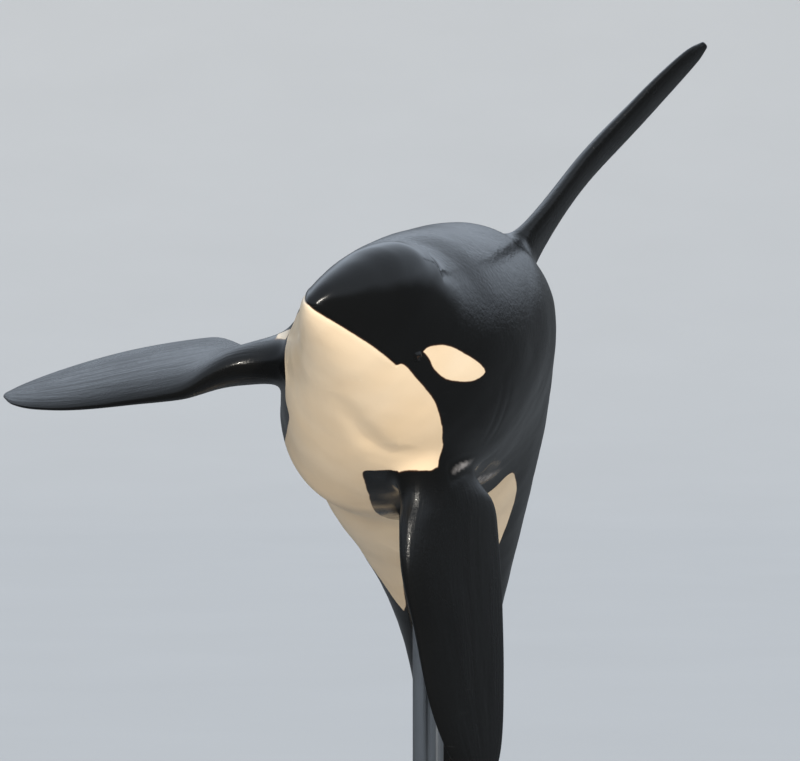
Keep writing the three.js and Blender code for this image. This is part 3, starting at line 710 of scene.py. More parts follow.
# Folds behind the left flipper: width, then station, angle and height of their points
FOLD_RISE = 0.009
FOLDS = [
    (0.018, [
        [0.2130, -24.6, 0.095], [0.2197, -23.0, 0.064], [0.2286, -21.1, 0.031], [0.2389, -18.4, 0.016],
        [0.2550, -14.6, 0.0],
    ]),
    (0.040, [
        [0.3250, -18.9, 0], [0.3442, -17.3, 0], [0.3692, -14.9, 0], [0.3921, -12.3, 0], [0.4190, -8.0, 0],
    ]),
]
CHEEK_DEPTH = 0.0025
CHEEK_WIDTH = 0.02
CHEEK_LINES = [
    [[0.198, 22.0], [0.212, 12.0], [0.224, 3.0], [0.236, -5.0], [0.246, -11.0]],
    [[0.214, 22.0], [0.230, 11.0], [0.244, 1.0], [0.256, -7.0]],
]

# Slow swells of the flesh: wavelength and height
SWELLS = [(0.55, 0.0014), (0.31, 0.0008), (0.19, 0.0005)]
EYE = {"station": 0.0945, "angle": 5.5, "radius": 0.028, "sink": 0.017}
FAR = 0.30
LINE_SAMPLES = 8
BODY_RADIUS = 0.45
BATCH = 4000


# A smooth line through points of station and angle, with samples between each two
def smooth_line(points):
    scale = np.array([LENGTH, math.radians(1) * BODY_RADIUS, 1.0])[:len(points[0])]
    p = np.array(points, float) * scale
    p = np.concatenate([2 * p[:1] - p[1:2], p, 2 * p[-1:] - p[-2:-1]])

    def between(first, second, start, end, t):
        return first * (end - t) / (end - start) + second * (t - start) / (end - start)

    out = []
    for a, b, c, d in zip(p, p[1:], p[2:], p[3:]):
        steps = [max(np.linalg.norm(step), 1e-6) ** 0.5 for step in (b - a, c - b, d - c)]
        t1, t2, t3 = np.cumsum(steps)
        for k in range(LINE_SAMPLES):
            t = t1 + (t2 - t1) * k / LINE_SAMPLES
            bc = between(b, c, t1, t2, t)
            abc = between(between(a, b, 0.0, t1, t), bc, 0.0, t2, t)
            bcd = between(bc, between(c, d, t2, t3, t), t1, t3, t)
            out.append(between(abc, bcd, t1, t2, t))
    out.append(p[-2])
    return np.array(out) / scale


# The same for a closed outline, which starts and ends at its first point
def closed_line(points):
    return smooth_line(points + points[:1])


def on_side(line, side):
    height = line[:, 2] if line.shape[1] > 2 else 0.0
    return skin_point(line[:, 0], line[:, 1] if side > 0 else 180 - line[:, 1], height)


# One line over both sides of the body, from the left through the line's start to the right
def across_body(line):
    return np.concatenate([on_side(line, 1)[::-1], on_side(line, -1)[1:]])


# Distance from points to a line of points in space, up to FAR, and the share along the line
def line_distance(points, line):
    distance = np.full(len(points), FAR)
    along = np.zeros(len(points))
    near = np.all((points > line.min(axis=0) - FAR) & (points < line.max(axis=0) + FAR), axis=1)
    chosen = np.nonzero(near)[0]
    start = line[:-1]
    step = np.diff(line, axis=0)
    size = np.maximum((step ** 2).sum(axis=1), 1e-12)
    middle = start + step / 2
    for first in range(0, len(chosen), BATCH):
        part = chosen[first:first + BATCH]
        p = points[part]
        square = (p ** 2).sum(axis=1)[:, None] - 2 * p @ middle.T + (middle ** 2).sum(axis=1)[None]
        best = square.argmin(axis=1)
        found = np.full(len(part), np.inf)
        place = np.zeros(len(part))
        for shift in (-1, 0, 1):
            k = np.clip(best + shift, 0, len(step) - 1)
            t = np.clip(((p - start[k]) * step[k]).sum(axis=1) / size[k], 0, 1)
            d = np.linalg.norm(p - start[k] - step[k] * t[:, None], axis=1)
            closer = d < found
            found = np.where(closer, d, found)
            place = np.where(closer, (k + t) / len(step), place)
        distance[part] = np.minimum(found, FAR)
        along[part] = place
    return distance, along


# Distances given a sign: positive inside a closed outline of station and angle
def signed_by(distance, station, angle, outline):
    result = np.zeros(len(station), bool)
    ends = np.roll(outline, -1, axis=0)
    for (x0, y0), (x1, y1) in zip(outline, ends):
        crosses = (y0 > angle) != (y1 > angle)
        if y0 != y1:
            result ^= crosses & (station < (x1 - x0) * (angle - y0) / (y1 - y0) + x0)
    return np.where(result, distance, -distance)


def smooth_step(low, high, value):
    t = np.clip((value - low) / (high - low), 0, 1)
    return t * t * (3 - 2 * t)


def hump(value, width):
    return np.exp(-((value / width) ** 2))


def both_sides(points, line):
    left = line_distance(points, on_side(line, 1))
    right = line_distance(points, on_side(line, -1))
    nearer = left[0] < right[0]
    return np.where(nearer, left[0], right[0]), np.where(nearer, left[1], right[1])


def mouth_line():
    stations = np.linspace(0, 1, MOUTH_STEPS) ** 2 * MOUTH_LINE[-1][0]
    return np.stack([stations, smooth_table(MOUTH_LINE, 1)(stations)], axis=1)


# White of the flukes' underside: distance inside it, from the planform's own edges
def fluke_white(points):
    tail, left, up = spine_axes(np.asarray(FLUKE["station"]))
    offset = points - spine_centre(np.asarray(FLUKE["station"]))
    chord = -(offset @ tail)
    across = abs(offset @ left)
    along = np.clip(across / FLUKE["length"], 0, 1)
    lead = smooth_table(FLUKE["leading"], 1)(along)
    trail = smooth_table(FLUKE["trailing"], 1)(along)
    edge = np.minimum(lead - chord - FLUKE_BORDERS["lead"], chord - trail - FLUKE_BORDERS["trail"])
    edge = np.minimum(edge, FLUKE["length"] - across - FLUKE_BORDERS["tip"])
    return np.where(offset @ up < 0, edge, FLUKE_BORDERS["above"])


# Signed distances to the edges of the markings, positive inside, in metres
def markings(points, base, station, angle, left, fluke, height):
    mouth = mouth_line()
    edge = np.concatenate([mouth[:-1], smooth_line([mouth[-1].tolist()] + WHITE_EDGE)])
    outline = np.concatenate([[[WHITE_CORNERS[1][0], edge[0, 1]]], edge, WHITE_CORNERS])
    white = signed_by(line_distance(base, across_body(edge))[0], station, angle, outline)

    # The flippers are black down to their roots
    climb = np.where(left, smooth_table(CLIMB_LEFT, 1)(angle), CLIMB)
    front = station < SHOULDER_END
    white = np.where(front & (height > 0), np.minimum(white, climb - height), white)
    end = (smooth_table(RIGHT_END, 1)(angle) - station) * LENGTH
    white = np.where(front & ~left, np.minimum(white, end), white)
    rear = ~front & (station < TAIL_STATION) & (height > 0)
    white = np.where(rear, np.minimum(white, CLIMB - height), white)

    patch = closed_line(EYE_PATCH)
    white = np.maximum(white, signed_by(both_sides(base, patch)[0], station, angle, patch))
    patch = closed_line(ARMPIT_PATCH)
    patch_white = signed_by(line_distance(base, on_side(patch, -1))[0], station, angle, patch)
    patch_white = np.minimum(patch_white, ARMPIT_CLIMB - height)
    white = np.where(left, white, np.maximum(white, patch_white))
    white = np.where(fluke > 0.5, -FAR, white)
    white = np.where(station > TAIL_STATION, np.maximum(white, fluke_white(points)), white)

    saddle = smooth_line(SADDLE)
    ring = np.concatenate([on_side(saddle, 1), on_side(saddle, -1)[::-1]])
    distance, _ = line_distance(base, np.concatenate([ring, ring[:1]]))
    outline = np.concatenate([saddle, SADDLE_CORNERS])
    return white, signed_by(distance, station, angle, outline)


# How far each point of the skin moves outwards, where the folds take their painted sheen and paler skin,
# and how far the blowhole's slit is, which carries its painted shade
def relief(points, station, angle, height):
    move = np.zeros(len(points))
    distance, along = line_distance(points, across_body(mouth_line()))
    signed = np.where(angle > mouth_row(station), distance, -distance)
    ends = smooth_step(0.0, MOUTH_END_SHARE, np.minimum(along, 1 - along))
    tip = hump(along - 0.5, MOUTH_TIP_SHARE)
    move -= (LIP_GROOVE["depth"] - LIP_GROOVE["tip"] * tip) * hump(signed, LIP_GROOVE["width"])
    for lip, way in ((UPPER_LIP, 1), (LOWER_LIP, -1)):
        move += (lip["rise"] - lip["tip"] * tip) * ends * hump(signed - way * lip["away"], lip["width"])

    # Behind the melon the skin drops in a step that fades out down each side
    behind = (station - smooth_table(MELON_END, 1)(np.maximum(angle, 0))) * LENGTH
    drop = smooth_step(MELON_STEP["start"], MELON_STEP["end"], behind)
    drop = drop * np.exp(-np.maximum(behind, 0) / MELON_STEP["fade"])
    swell = MELON_STEP["swell"] * hump(behind + MELON_STEP["width"], MELON_STEP["width"])
    move += smooth_step(*MELON_ANGLES, angle) * (swell - MELON_STEP["depth"] * drop)

    slit, along = both_sides(points, smooth_line(BLOWHOLE))
    move -= BLOWHOLE_DEPTH * smooth_step(0, 0.5, along) * hump(slit, BLOWHOLE_WIDTH)
    # The slit's painted shade fades in towards its front end
    slit = slit + BLOWHOLE_FADE * (1 - smooth_step(0, 0.3, along))

    # The hollow between the jaw and the breast
    distance, along = both_sides(points, smooth_line(THROAT))
    move -= THROAT_DEPTH * np.sin(math.pi * along) * hump(distance, THROAT_WIDTH)

    pale = np.zeros(len(points))
    for width, line in FOLDS:
        distance, along = line_distance(points, on_side(smooth_line(line), 1))
        fade = smooth_step(0, 0.12, along) * smooth_step(0, 0.35, 1 - along)
        move += fade * FOLD_RISE * (hump(distance, width) - 0.5 * hump(distance - 2.4 * width, width))
        # The fold crests: the mask for their painted sheen and paler skin
        pale = np.maximum(pale, fade * (1 - smooth_step(0.5 * width, 1.3 * width, distance)))
    for line in CHEEK_LINES:
        distance, along = both_sides(points, smooth_line(line))
        move -= CHEEK_DEPTH * hump(distance, CHEEK_WIDTH) * np.sin(math.pi * along) * (height <= 0)

    # Slow swells of the flesh, so that the gloss isn't dead even
    for k, (size, swing) in enumerate(SWELLS):
        turn = points * 6.28 / size
        wave = np.sin(turn[:, 0] + k) * np.sin(turn[:, 1] * 0.8 + 2 * k) * np.sin(turn[:, 2] * 1.1 + 3 * k)
        move += swing * wave
    return move, pale, slit


SOFT_PASSES = 10
MARK_NAMES = ("station", "cosine", "sine", "share", "fluke", "height")

# Where beads of water lie: spans of station and angle, and of the distance from the blowhole
WET_STATIONS = (0.105, 0.135)
WET_ANGLES = (18, 42)
WET_AWAY = (0.03, 0.10)
FLOW_PER_SHARE = 1.5

# The relief dies away along a fin, and the fin's own gloss comes in
FIN_CALM = 0.9
FIN_CALM_SHARES = (0.02, 0.2)
FIN_SHARES = (0.01, 0.12)


def write_floats(mesh, name, values):
    layer = mesh.attributes.get(name) or mesh.attributes.new(name, "FLOAT", "POINT")
    layer.data.foreach_set("value", np.ascontiguousarray(values, dtype=np.float32))


def read_floats(items, name, columns=1):
    values = np.zeros(len(items) * columns, np.float32)
    items.foreach_get(name, values)
    values = values.astype(float)
    return values.reshape(-1, columns) if columns > 1 else values


# Smooths the listed points of a mesh and makes its faces point outwards
def finish_shell(mesh, soft=(), passes=0):
    shell = bmesh.new()
    shell.from_mesh(mesh)
    shell.verts.ensure_lookup_table()
    verts = [shell.verts[i] for i in soft]
    for _ in range(passes):
        bmesh.ops.smooth_vert(
            shell, verts=verts, factor=0.5, use_axis_x=True, use_axis_y=True, use_axis_z=True
        )
    bmesh.ops.recalc_face_normals(shell, faces=shell.faces)
    shell.to_mesh(mesh)
    shell.free()


def add_object(name, mesh):
    obj = bpy.data.objects.new(name, mesh)
    bpy.context.scene.collection.objects.link(obj)
    return obj


# One smoother level of a mesh object, with its marks carried along
def subdivided(obj):
    smoother = obj.modifiers.new("smooth", "SUBSURF")
    smoother.levels = 1
    smoother.render_levels = 1
    bpy.context.view_layer.update()
    graph = bpy.context.evaluated_depsgraph_get()
    shape = obj.evaluated_get(graph)
    fine = bpy.data.meshes.new_from_object(shape, preserve_all_data_layers=True, depsgraph=graph)
    obj.modifiers.remove(smoother)
    return fine


def build_skin():
    cage = build_cage()
    points = np.concatenate(cage.points)
    marks = np.concatenate(cage.marks)
    used = np.zeros(len(points), bool)
    for face in cage.faces:
        used[list(face)] = True
    order = np.cumsum(used) - 1
    faces = [tuple(int(order[v]) for v in face) for face in cage.faces]
    mesh = bpy.data.meshes.new("orca_skin")
    mesh.from_pydata(points[used].tolist(), [], faces)
    marks = marks[used]
    turn = np.radians(marks[:, 1])
    fluke = marks[:, 3] * (marks[:, 2] > 0)
    columns = (marks[:, 0], np.cos(turn), np.sin(turn), marks[:, 2], fluke, marks[:, 4])
    for name, values in zip(MARK_NAMES, columns):
        write_floats(mesh, name, values)
    finish_shell(mesh, [int(order[v]) for v in sorted(set(cage.soft)) if used[v]], SOFT_PASSES)

    skin = add_object("orca_skin", mesh)
    fine = subdivided(skin)
    columns = [read_floats(fine.attributes[name].data, "value") for name in MARK_NAMES]
    station, cosine, sine, share, fluke, height = columns
    turn = np.arctan2(sine, cosine)
    angle = np.degrees(np.arctan2(sine, abs(cosine)))
    points = read_floats(fine.vertices, "co", 3)
    base = skin_point(station, np.degrees(turn))
    white, grey = markings(points, base, station, angle, cosine > 0, fluke, height)
    move, pale, slit = relief(points, station, angle, height)
    move = move * (1 - FIN_CALM * smooth_step(*FIN_CALM_SHARES, share))
    points = points + read_floats(fine.vertex_normals, "vector", 3) * move[:, None]
    fine.vertices.foreach_set("co", points.astype(np.float32).ravel())
    wet = smooth_step(*WET_STATIONS, station) * smooth_step(*WET_ANGLES, angle) * (fluke < 0.5)
    write_floats(fine, "white", white * 1000)
    write_floats(fine, "grey", grey * 1000)
    write_floats(fine, "pale", pale)
    write_floats(fine, "slit", slit * 1000)
    write_floats(fine, "fin", smooth_step(*FIN_SHARES, share))
    write_floats(fine, "wet", wet * smooth_step(*WET_AWAY, slit))
    flow = np.stack([station * LENGTH, turn * half_width(station) * LENGTH, share * FLOW_PER_SHARE], axis=1)
    layer = fine.attributes.new("flow", "FLOAT_VECTOR", "POINT")
    layer.data.foreach_set("vector", flow.astype(np.float32).ravel())
    for name in MARK_NAMES:
        fine.attributes.remove(fine.attributes[name])
    fine.update()
    fine.shade_smooth()
    skin.data = fine
    bpy.data.meshes.remove(mesh)
    return skin


# Small helpers for building materials
class Shades:
    def __init__(self, name, slot_color):
        self.material = bpy.data.materials.new(name)
        self.material.use_nodes = True
        self.material.diffuse_color = (*slot_color, 1)
        self.nodes = self.material.node_tree.nodes
        self.links = self.material.node_tree.links
        self.nodes.clear()
        self.shader = self.nodes.new("ShaderNodeBsdfPrincipled")
        out = self.nodes.new("ShaderNodeOutputMaterial")
        self.links.new(self.shader.outputs["BSDF"], out.inputs["Surface"])
        self.places = self.nodes.new("ShaderNodeTexCoord").outputs["Object"]

    def put(self, target, value):
        if hasattr(value, "is_linked"):
            self.links.new(value, target)
        elif hasattr(value, "__len__") and len(value) == 3 and target.type == "RGBA":
            target.default_value = (*value, 1)
        else:
            target.default_value = value

    # Sets the finished surface's own values by their names
    def set(self, values):
        for name, value in values.items():
            self.put(self.shader.inputs[name], value)

    # A new node with the given inputs; returns the output of the given name or place
    def node(self, kind, output, inputs, **settings):
        node = self.nodes.new("ShaderNode" + kind)
        for name, value in settings.items():
            setattr(node, name, value)
        for key, value in inputs.items():
            self.put(node.inputs[key], value)
        return node.outputs[output]

    def stretched(self, scale, turn=(0, 0, 0), places=None):
        turn = [math.radians(a) for a in turn]
        inputs = {"Vector": places or self.places, "Scale": scale, "Rotation": turn}
        return self.node("Mapping", "Vector", inputs)

    def noise(self, scale, detail=3.0, rough=0.55, place=None):
        inputs = {"Vector": place or self.places, "Scale": scale, "Detail": detail, "Roughness": rough}
        return self.node("TexNoise", "Fac", inputs)

    def cells(self, scale):
        return self.node("TexVoronoi", "Distance", {"Vector": self.places, "Scale": scale})

    def value(self, name, output="Fac"):
        return self.node("Attribute", output, {}, attribute_name=name)

    def times(self, a, b):
        return self.node("Math", 0, {0: a, 1: b}, operation="MULTIPLY")

    def plus(self, a, b):
        return self.node("Math", 0, {0: a, 1: b}, operation="ADD")

    def minus(self, a, b):
        return self.node("Math", 0, {0: a, 1: b}, operation="SUBTRACT")

    def span(self, value, low, high, to_low=0.0, to_high=1.0):
        inputs = {"Value": value, "From Min": low, "From Max": high, "To Min": to_low, "To Max": to_high}
        return self.node("MapRange", "Result", inputs, interpolation_type="SMOOTHSTEP")

    def mix(self, share, a, b):
        return self.node("Mix", 2, {"Factor": share, 6: a, 7: b}, data_type="RGBA")

    def bump(self, height, strength, distance, before=None):
        inputs = {"Height": height, "Strength": strength, "Distance": distance}
        if before is not None:
            inputs["Normal"] = before
        return self.node("Bump", "Normal", inputs)


# Marks of the skin's attributes are distances in millimetres: positive inside the white and the saddle
def skin_material():
    m = Shades("wet_skin", (0.02, 0.02, 0.02))
    white = m.value("white")
    grey = m.value("grey")
    fin = m.value("fin")
    wet = m.value("wet")
    slit = m.value("slit")
    flow = m.value("flow", "Vector")

    # The edge of the white wavers by a few millimetres, with a thin brown line along it
    waver = m.times(m.minus(m.noise(9.0, 4.0), 0.5), 5.0)
    waver = m.plus(waver, m.times(m.minus(m.noise(60.0, 2.0), 0.5), 3.0))
    edge = m.plus(white, waver)
    pale = m.span(edge, -1.5, 2.5)
    brown = m.times(m.span(edge, -7.0, -1.0), m.minus(1.0, m.span(edge, 0.0, 5.0)))

    # Near black with slow changes and a few fine pale scratches
    black = m.mix(m.noise(1.3, 3.0), (0.0040, 0.0041, 0.0041), (0.0072, 0.0074, 0.0074))
    rake = m.noise(7.0, 2.0, place=m.stretched((1.0, 0.25, 9.0), (20, 35, 10)))
    scratch = m.times(m.span(rake, 0.66, 0.74), m.span(m.noise(2.1, 2.0), 0.52, 0.68))
    black = m.mix(m.times(scratch, 0.06), black, (0.10, 0.10, 0.10))

    # Grey saddle behind the fin, smoky at its edges
    smoke = m.plus(grey, m.times(m.minus(m.noise(3.2, 5.0, 0.6), 0.5), 190.0))
    saddle = m.span(smoke, -60.0, 80.0, 0.0, 0.85)
    saddle_color = m.mix(m.noise(14.0, 4.0), (0.085, 0.088, 0.092), (0.17, 0.175, 0.18))
    black = m.mix(saddle, black, saddle_color)

    # The crests of the folds behind the left flipper are painted paler: painted sheen standing in for the
    # sky their lit sides reflect, and paler skin there as well
    pale_skin_and_fold_sheen = m.times(m.value("pale"), m.span(m.noise(11.0, 4.0, 0.6), 0.25, 0.65, 0.25, 1.0))
    black = m.mix(pale_skin_and_fold_sheen, black, (0.30, 0.275, 0.26))

    # Cream with slightly warmer drifts and very fine flecks
    cream = m.mix(m.span(m.noise(1.6, 3.0), 0.3, 0.7), (0.84, 0.635, 0.410), (0.88, 0.695, 0.480))
    drift = m.times(m.span(m.noise(5.5, 5.0, 0.6), 0.5, 0.8), 0.16)
    cream = m.mix(drift, cream, (0.70, 0.530, 0.360))
    cream = m.mix(m.span(m.cells(150.0), 0.0, 0.22, 0.08, 0.0), cream, (0.55, 0.43, 0.31))

    color = m.mix(pale, black, cream)
    color = m.mix(m.times(brown, 0.55), color, (0.070, 0.026, 0.012))
    # Painted shade: the blowhole's slit is drawn near black, standing in for the shade down inside it
    color = m.mix(m.span(slit, 4.0, 12.0, 0.9, 0.0), color, (0.001, 0.001, 0.001))

    # Wet gloss: a smooth film over the black, a little duller on the white
    film = m.span(m.noise(2.6, 4.0, place=m.stretched((1.0, 1.0, 0.45))), 0.35, 0.7)
    rough = m.span(film, 0.0, 1.0, 0.13, 0.21)
    for share, more in ((pale, 0.16), (saddle, 0.08), (pale_skin_and_fold_sheen, 0.15), (fin, 0.10)):
        rough = m.plus(rough, m.times(share, more))
    # The slit is also made rougher, so its reflection dims like that of a shaded recess
    rough = m.plus(rough, m.span(slit, 4.0, 12.0, 0.4, 0.0))

    # The slow swell of flesh, water running along the body and the fins, beads of it and fine grain
    along_body = m.noise(9.0, 3.0, place=m.stretched((0.22, 1.0, 1.0), places=flow))
    along_fin = m.noise(15.0, 4.0, 0.6, place=m.stretched((1.0, 1.0, 0.13), places=flow))
    normal = m.bump(m.noise(3.1, 4.0, 0.5), 0.30, 0.010)
    normal = m.bump(m.times(along_body, m.minus(1.0, fin)), 0.20, 0.0030, normal)
    normal = m.bump(m.times(along_fin, fin), 0.75, 0.0120, normal)
    normal = m.bump(m.times(m.noise(42.0, 3.0, 0.6), wet), 0.75, 0.0050, normal)
    normal = m.bump(m.times(m.noise(60.0, 3.0, 0.65), fin), 0.35, 0.0040, normal)
    normal = m.bump(m.noise(210.0, 3.0, 0.6), 0.12, 0.0010, normal)
    m.set({"Base Color": color, "Roughness": rough, "Normal": normal})
    m.set({"Specular IOR Level": 0.45, "IOR": 1.30})
    m.set({"Coat Weight": 0.10, "Coat Roughness": 0.04, "Coat IOR": 1.33})
    return m.material


# The eye: pupil, iris and rim by the share of the way from its middle
def eye_material():
    m = Shades("eye_wet", (0.02, 0.015, 0.01))
    ring = m.value("ring")
    iris = m.mix(m.noise(260.0, 4.0, 0.6), (0.014, 0.008, 0.005), (0.036, 0.020, 0.011))
    color = m.mix(m.span(ring, 0.26, 0.32), (0.002, 0.002, 0.002), iris)
    color = m.mix(m.span(ring, 0.60, 0.70), color, (0.006, 0.005, 0.005))
    color = m.mix(m.span(ring, 0.86, 1.0), color, (0.030, 0.020, 0.017))
    m.set({"Base Color": color, "Roughness": m.span(m.noise(40.0), 0.3, 0.7, 0.03, 0.07)})
    m.set({"Coat Weight": 1.0, "Coat Roughness": 0.02, "Normal": m.bump(m.noise(120.0, 2.0), 0.05, 0.0006)})
    return m.material


def paint_material():
    m = Shades("stand_paint", (0.2, 0.2, 0.21))
    color = m.mix(m.noise(1.1, 4.0), (0.115, 0.120, 0.126), (0.165, 0.170, 0.176))
    dust = m.times(m.span(m.noise(6.0, 6.0, 0.65), 0.5, 0.8), 0.35)
    peel = m.bump(m.noise(130.0, 2.0), 0.25, 0.0012)
    m.set({"Base Color": m.mix(dust, color, (0.30, 0.295, 0.285))})
    m.set({"Roughness": m.span(m.noise(9.0, 5.0), 0.3, 0.7, 0.42, 0.62)})
    m.set({"Normal": m.bump(m.cells(420.0), 0.12, 0.0006, peel)})
    return m.material


def steel_material():
    m = Shades("brushed_steel", (0.6, 0.6, 0.6))
    brush = m.noise(3.0, 4.0, 0.7, m.stretched((90.0, 90.0, 900.0)))
    color = m.mix(brush, (0.40, 0.41, 0.42), (0.62, 0.63, 0.64))
    color = m.mix(m.times(m.span(m.noise(5.0, 4.0), 0.5, 0.8), 0.35), color, (0.30, 0.30, 0.31))
    m.set({"Base Color": color, "Metallic": 1.0, "Roughness": m.span(brush, 0.2, 0.8, 0.26, 0.44)})
    m.set({"Normal": m.bump(brush, 0.10, 0.0008)})
    return m.material


def rubber_material():
    m = Shades("pad_rubber", (0.03, 0.03, 0.03))
    m.set({"Base Color": m.mix(m.noise(8.0, 5.0), (0.010, 0.010, 0.011), (0.028, 0.028, 0.030))})
    m.set({"Roughness": m.span(m.noise(30.0, 4.0), 0.3, 0.7, 0.62, 0.82)})
    m.set({"Normal": m.bump(m.noise(340.0, 3.0, 0.7), 0.35, 0.0010)})
    return m.material


def stage_material():
    m = Shades("pale_floor", (0.6, 0.6, 0.6))
    color = m.mix(m.noise(0.35, 4.0), (0.420, 0.410, 0.395), (0.450, 0.440, 0.425))
    m.set({"Base Color": color, "Roughness": 0.85, "Normal": m.bump(m.noise(30.0, 3.0), 0.05, 0.002)})
    return m.material


def set_material(obj, material):
    obj.data.materials.clear()
    obj.data.materials.append(material)


# Faces over rings of points: a fan round a first lone point, then quads from ring to ring
def ring_faces(rings, around):
    faces = [(0, 1 + k, 1 + (k + 1) % around) for k in range(around)]
    for i in range(rings - 1):
        for k in range(around):
            a = 1 + i * around + k
            b = 1 + i * around + (k + 1) % around
            faces.append((a, a + around, b + around, b))
    return faces


# Where an eye sits: its centre and its own directions
def eye_seat(side):
    angle = EYE["angle"] if side > 0 else 180 - EYE["angle"]
    out, tail = (way.reshape(3) for way in skin_axes(EYE["station"], angle))
    up = spine_axes(np.asarray(EYE["station"]))[2]
    up = square_to(up - out * (up @ out), tail)
    seat = skin_point(EYE["station"], angle).reshape(3)
    return seat - out * EYE["sink"], out, tail, up


EYE_RINGS = 26
EYE_AROUND = 40
EYE_REACH = math.pi * 0.62
EYE_BACK = 0.4
CORNEA_RISE = 0.045
CORNEA_TURN = 0.42
IRIS_TURN = 0.95


def build_eye(side):
    centre, out, tail, up = eye_seat(side)
    points = [centre + out * (EYE["radius"] * (1 + CORNEA_RISE))]
    ring_marks = [0.0]
    for i in range(1, EYE_RINGS + 1):
        polar = EYE_REACH * i / EYE_RINGS
        bulge = 1 + CORNEA_RISE * math.exp(-((polar / CORNEA_TURN) ** 2))
        for j in range(EYE_AROUND):
            turn = 2 * math.pi * j / EYE_AROUND
            flat = tail * math.cos(turn) + up * math.sin(turn)
            points.append(centre + (out * math.cos(polar) + flat * math.sin(polar)) * EYE["radius"] * bulge)
            ring_marks.append(polar / IRIS_TURN)
    points.append(centre - out * EYE["radius"] * EYE_BACK)
    ring_marks.append(2.0)
    faces = ring_faces(EYE_RINGS, EYE_AROUND)
    last = 1 + (EYE_RINGS - 1) * EYE_AROUND
    faces += [(last + j, len(points) - 1, last + (j + 1) % EYE_AROUND) for j in range(EYE_AROUND)]
    mesh = bpy.data.meshes.new("eye")
    mesh.from_pydata([p.tolist() for p in points], [], faces)
    write_floats(mesh, "ring", np.array(ring_marks))
    mesh.shade_smooth()
    return add_object("eyeball_left" if side > 0 else "eyeball_right", mesh)


# The lids' opening, and their height over the eye's centre at scales of that opening
LID_AROUND = 56
LID_TILT = -8
LID_HALF_LENGTH = 0.0175
LID_HALF_WIDTH = 0.0088
LID_PINCH = 0.35
LID_EASE = 0.45
LID_RIM_SCALE = 1.2
LID_PROFILE = [
    (0.97, 0.0256), (1.0, 0.0278), (1.1, 0.0292), (1.3, 0.0282), (1.6, 0.0248), (2.0, 0.019), (2.4, 0.0115),
]


# Lids: a shell over the eyeball with an almond opening, running out under the skin
def build_lids(side):
    centre, out, tail, up = eye_seat(side)
    tilt = math.radians(LID_TILT)
    long_way = tail * math.cos(tilt) + up * math.sin(tilt)
    wide_way = up * math.cos(tilt) - tail * math.sin(tilt)
    points = []
    for scale, height in LID_PROFILE:
        for j in range(LID_AROUND):
            turn = 2 * math.pi * j / LID_AROUND
            wide_half = LID_HALF_WIDTH * (1 - LID_PINCH * abs(math.cos(turn)) ** 3)
            ease = 1 if scale < 1.05 else 1 + (scale - 1) * LID_EASE * abs(math.sin(turn))
            x = LID_HALF_LENGTH * math.cos(turn) * scale
            y = wide_half * math.sin(turn) * scale * ease
            lift = height
            if scale < LID_RIM_SCALE:
                drop = min(math.hypot(x, y) / EYE["radius"], 0.9)
                share = (LID_RIM_SCALE - scale) / (LID_RIM_SCALE - LID_PROFILE[0][0])
                lift -= EYE["radius"] * (1 - math.sqrt(1 - drop * drop)) * share
            points.append(centre + long_way * x + wide_way * y + out * lift)
    faces = []
    for i in range(len(LID_PROFILE) - 1):
        for j in range(LID_AROUND):
            a = i * LID_AROUND + j
            b = i * LID_AROUND + (j + 1) % LID_AROUND
            faces.append((a, a + LID_AROUND, b + LID_AROUND, b))
    mesh = bpy.data.meshes.new("lids")
    mesh.from_pydata([p.tolist() for p in points], [], faces)
    for name, value in (("white", -200.0), ("grey", -300.0), ("slit", 300.0)):
        write_floats(mesh, name, np.full(len(points), value))
    finish_shell(mesh)
    lids = add_object("lids_left" if side > 0 else "lids_right", mesh)
    fine = subdivided(lids)
    lids.data = fine
    fine.shade_smooth()
    return lids


skin = build_skin()
wet_skin = skin_material()
set_material(skin, wet_skin)
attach(skin, "root")
FLESH = [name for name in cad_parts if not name.startswith(("stand_", "eye_left", "eye_right"))]
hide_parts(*FLESH)

wet_eye = eye_material()
for side, eye_name in ((1, "eye_left"), (-1, "eye_right")):
    eyeball = build_eye(side)
    set_material(eyeball, wet_eye)
    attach(eyeball, "root")
    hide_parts(eye_name)
    lids = build_lids(side)
    set_material(lids, wet_skin)
    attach(lids, "root")

FINISHES = {"stand_base": paint_material(), "stand_rod": steel_material(), "stand_pad": rubber_material()}
FINISHES["stand_collar"] = FINISHES["stand_rod"]
for node_name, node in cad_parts.items():
    for start, material in FINISHES.items():
        if node_name.startswith(start):
            node.material_slots[0].material = material


# The photo's view: a long lens, 30 metres away, a little above the animal; the horizon gives the dip
VIEW_DISTANCE = 30.0
VIEW_AZIMUTH = 5.0
FOCAL_PIXELS = 5790
WIDTH_PIXELS = 800
PIXELS_BELOW_HORIZON = 200.5
SENSOR_WIDTH = 36
VIEW_SHIFT = (0.0995, 0.001)


def view_directions():
    azimuth = math.radians(VIEW_AZIMUTH)
    dip = math.atan(PIXELS_BELOW_HORIZON / FOCAL_PIXELS)
    back = np.array([math.sin(azimuth) * math.cos(dip), -math.cos(azimuth) * math.cos(dip), math.sin(dip)])
    right = np.array([math.cos(azimuth), math.sin(azimuth), 0.0])
    return right, np.cross(back, right), back


